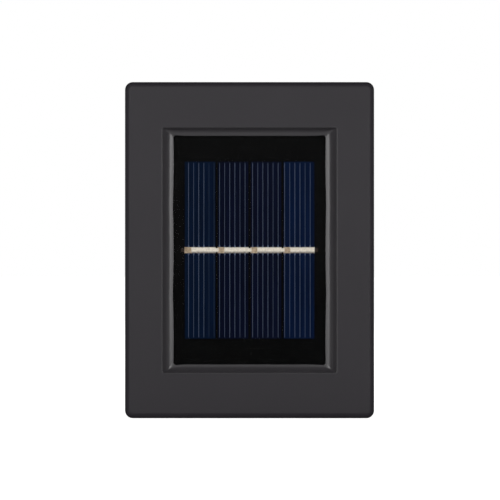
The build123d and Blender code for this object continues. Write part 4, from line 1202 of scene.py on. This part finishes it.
class FENCELIGHT_OT_studio(bpy.types.Operator):
    """Set up the pale floor, the soft boxes, the room and the camera"""
    bl_idname = "fence_light.studio"
    bl_label = "Studio"

    def execute(self, context):
        studio = settings().studio
        scene = context.scene
        low, high = (Vector(corner) for corner in cad_box)
        middle = (low + high) / 2

        # camera dead on to the front
        camera = bpy.data.objects.new("camera", bpy.data.cameras.new("camera"))
        scene.collection.objects.link(camera)
        camera.data.lens = studio.lens
        distance = studio.frame_width * studio.lens / camera.data.sensor_width
        camera.location = (middle.x, low.y - distance, middle.z)
        camera.rotation_euler = (math.radians(90), 0, 0)
        camera.data.shift_x, camera.data.shift_y = studio.shift
        scene.camera = camera

        # floor, white to the camera and seen from above only
        bm = bmesh.new()
        bmesh.ops.create_grid(bm, x_segments=1, y_segments=1, size=FLOOR_HALF,
                              matrix=Matrix.Translation((0, 0, low.z)))
        mesh = bpy.data.meshes.new("floor")
        bm.to_mesh(mesh)
        bm.free()
        floor = bpy.data.objects.new("floor", mesh)
        scene.collection.objects.link(floor)
        mesh.materials.append(self.floor_paper(studio.card))
        self.room(scene, studio.fill)
        for name, place, size, power, mirrored in SOFT_BOXES:
            self.soft_box(name, place, size, getattr(studio, power), middle, mirrored)
        return {"FINISHED"}

    def soft_box(self, name, place, size, power, target, mirrored):
        """Rectangular lamp that points at the light. The camera and refracted rays don't see it."""
        light = bpy.data.lights.new(name, "AREA")
        light.shape = "RECTANGLE"
        light.size, light.size_y = size
        light.energy = power
        lamp = bpy.data.objects.new(name, light)
        bpy.context.scene.collection.objects.link(lamp)
        lamp.location = place
        lamp.rotation_euler = (target - Vector(place)).to_track_quat("-Z", "Y").to_euler()
        lamp.visible_camera = False
        lamp.visible_transmission = False
        lamp.visible_glossy = mirrored

    def floor_paper(self, card):
        """White to the camera. In reflections it has a bright band before the light, is dark further out on
        the camera's side, which the resin mirrors, and is white behind the light."""
        material = bpy.data.materials.new("white_paper_floor")
        material.use_nodes = True
        tree = material.node_tree
        tree.nodes.remove(tree.nodes["Principled BSDF"])
        path = add_node(tree, "ShaderNodeLightPath").outputs
        mirrored = maths(tree, "MAXIMUM", path["Is Glossy Ray"], path["Is Transmission Ray"])
        place = add_node(tree, "ShaderNodeTexCoord").outputs["Object"]
        depth = add_node(tree, "ShaderNodeSeparateXYZ", {0: place}).outputs["Y"]
        behind = ramp(tree, depth, *FLOOR_FADE, *FLOOR_TONES)
        band = maths(tree, "MULTIPLY", ramp(tree, depth, *BAND_START, 0.0, card, "SMOOTHSTEP"),
                     ramp(tree, depth, *BAND_END, 0.0, 1.0, "SMOOTHSTEP"))
        seen = maths(tree, "MAXIMUM", behind, band)
        glow = blend(tree, mirrored, path["Is Camera Ray"], seen, "FLOAT")
        tone = blend(tree, mirrored, linear(PAPER), linear("#000000"))
        paper = add_node(tree, "ShaderNodeBsdfDiffuse", {"Color": tone})
        light = add_node(tree, "ShaderNodeEmission", {"Strength": maths(tree, "MULTIPLY", glow, PAPER_GLOW)})
        both = add_node(tree, "ShaderNodeAddShader", {0: paper.outputs[0], 1: light.outputs[0]})
        clear = add_node(tree, "ShaderNodeBsdfTransparent")
        under = add_node(tree, "ShaderNodeNewGeometry").outputs["Backfacing"]
        mix = add_node(tree, "ShaderNodeMixShader", {0: under, 1: both.outputs[0], 2: clear.outputs[0]})
        tree.links.new(mix.outputs[0], tree.nodes["Material Output"].inputs["Surface"])
        return material

    def room(self, scene, fill):
        """White to the camera. In reflections it is white behind the light and dark on the camera's side."""
        world = bpy.data.worlds.new("studio")
        scene.world = world
        world.use_nodes = True
        tree = world.node_tree
        background = tree.nodes["Background"]
        background.inputs["Color"].default_value = (1, 1, 1, 1)
        path = add_node(tree, "ShaderNodeLightPath").outputs
        direction = add_node(tree, "ShaderNodeTexCoord").outputs["Generated"]
        direction = add_node(tree, "ShaderNodeSeparateXYZ", {0: direction}).outputs
        behind, above = direction["Y"], maths(tree, "MAXIMUM", direction["Z"], 0.0)
        faded = maths(tree, "POWER", ramp(tree, behind, -1.0, 1.0), ROOM_FADE)
        paper = maths(tree, "ADD", faded, ROOM_FLOOR, clamp=True)
        aside = ramp(tree, behind, *ASIDE, 0.0, fill)
        entering = maths(tree, "MULTIPLY_ADD", aside, path["Is Transmission Ray"], paper, clamp=True)
        mirrored = maths(tree, "MAXIMUM", path["Is Glossy Ray"], path["Is Transmission Ray"])
        # the room is brightest to the front and the back, so the rims stay darker than the face
        facing = maths(tree, "POWER", maths(tree, "ABSOLUTE", behind), FACING_POWER)
        facing = maths(tree, "MULTIPLY", facing, FACING * fill)
        facing = maths(tree, "MULTIPLY_ADD", above, ABOVE * fill, facing)
        lit = blend(tree, mirrored, facing, entering, "FLOAT")
        strength = blend(tree, path["Is Camera Ray"], lit, 1.0, "FLOAT")
        tree.links.new(strength, background.inputs["Strength"])
        scene.view_settings.view_transform = "Standard"


class FENCELIGHT_PT_sidebar(bpy.types.Panel):
    """Steps and settings of the fence light"""
    bl_idname = "FENCELIGHT_PT_sidebar"
    bl_label = "Fence light"
    bl_space_type = "VIEW_3D"
    bl_region_type = "UI"
    bl_category = "Fence light"

    def draw(self, context):
        for step in STEPS:
            self.layout.operator(step.bl_idname)
        for group in (settings().housing, settings().panel, settings().lights, settings().fixings,
                      settings().finish, settings().studio):
            box = self.layout.box()
            for name in group.__annotations__:
                box.prop(group, name)


STEPS = (
    FENCELIGHT_OT_studio,
    FENCELIGHT_OT_housing,
    FENCELIGHT_OT_solar_panel,
    FENCELIGHT_OT_light_windows,
    FENCELIGHT_OT_back_cover,
    FENCELIGHT_OT_battery,
    FENCELIGHT_OT_switch,
    FENCELIGHT_OT_circuit_board,
)
CLASSES = (
    HousingSettings, PanelSettings, LightSettings, FixingSettings, FinishSettings, StudioSettings,
    FenceLightSettings, *STEPS, FENCELIGHT_PT_sidebar,
)


def register():
    for made in CLASSES:
        bpy.utils.register_class(made)
    bpy.types.Scene.fence_light = bpy.props.PointerProperty(
        type=FenceLightSettings, name="Fence light", description="Sizes and colours of the fence light")


def unregister():
    del bpy.types.Scene.fence_light
    for made in reversed(CLASSES):
        bpy.utils.unregister_class(made)


def main():
    register()
    for step in STEPS:
        family, name = step.bl_idname.split(".")
        getattr(getattr(bpy.ops, family), name)()


if __name__ == "__main__":
    main()
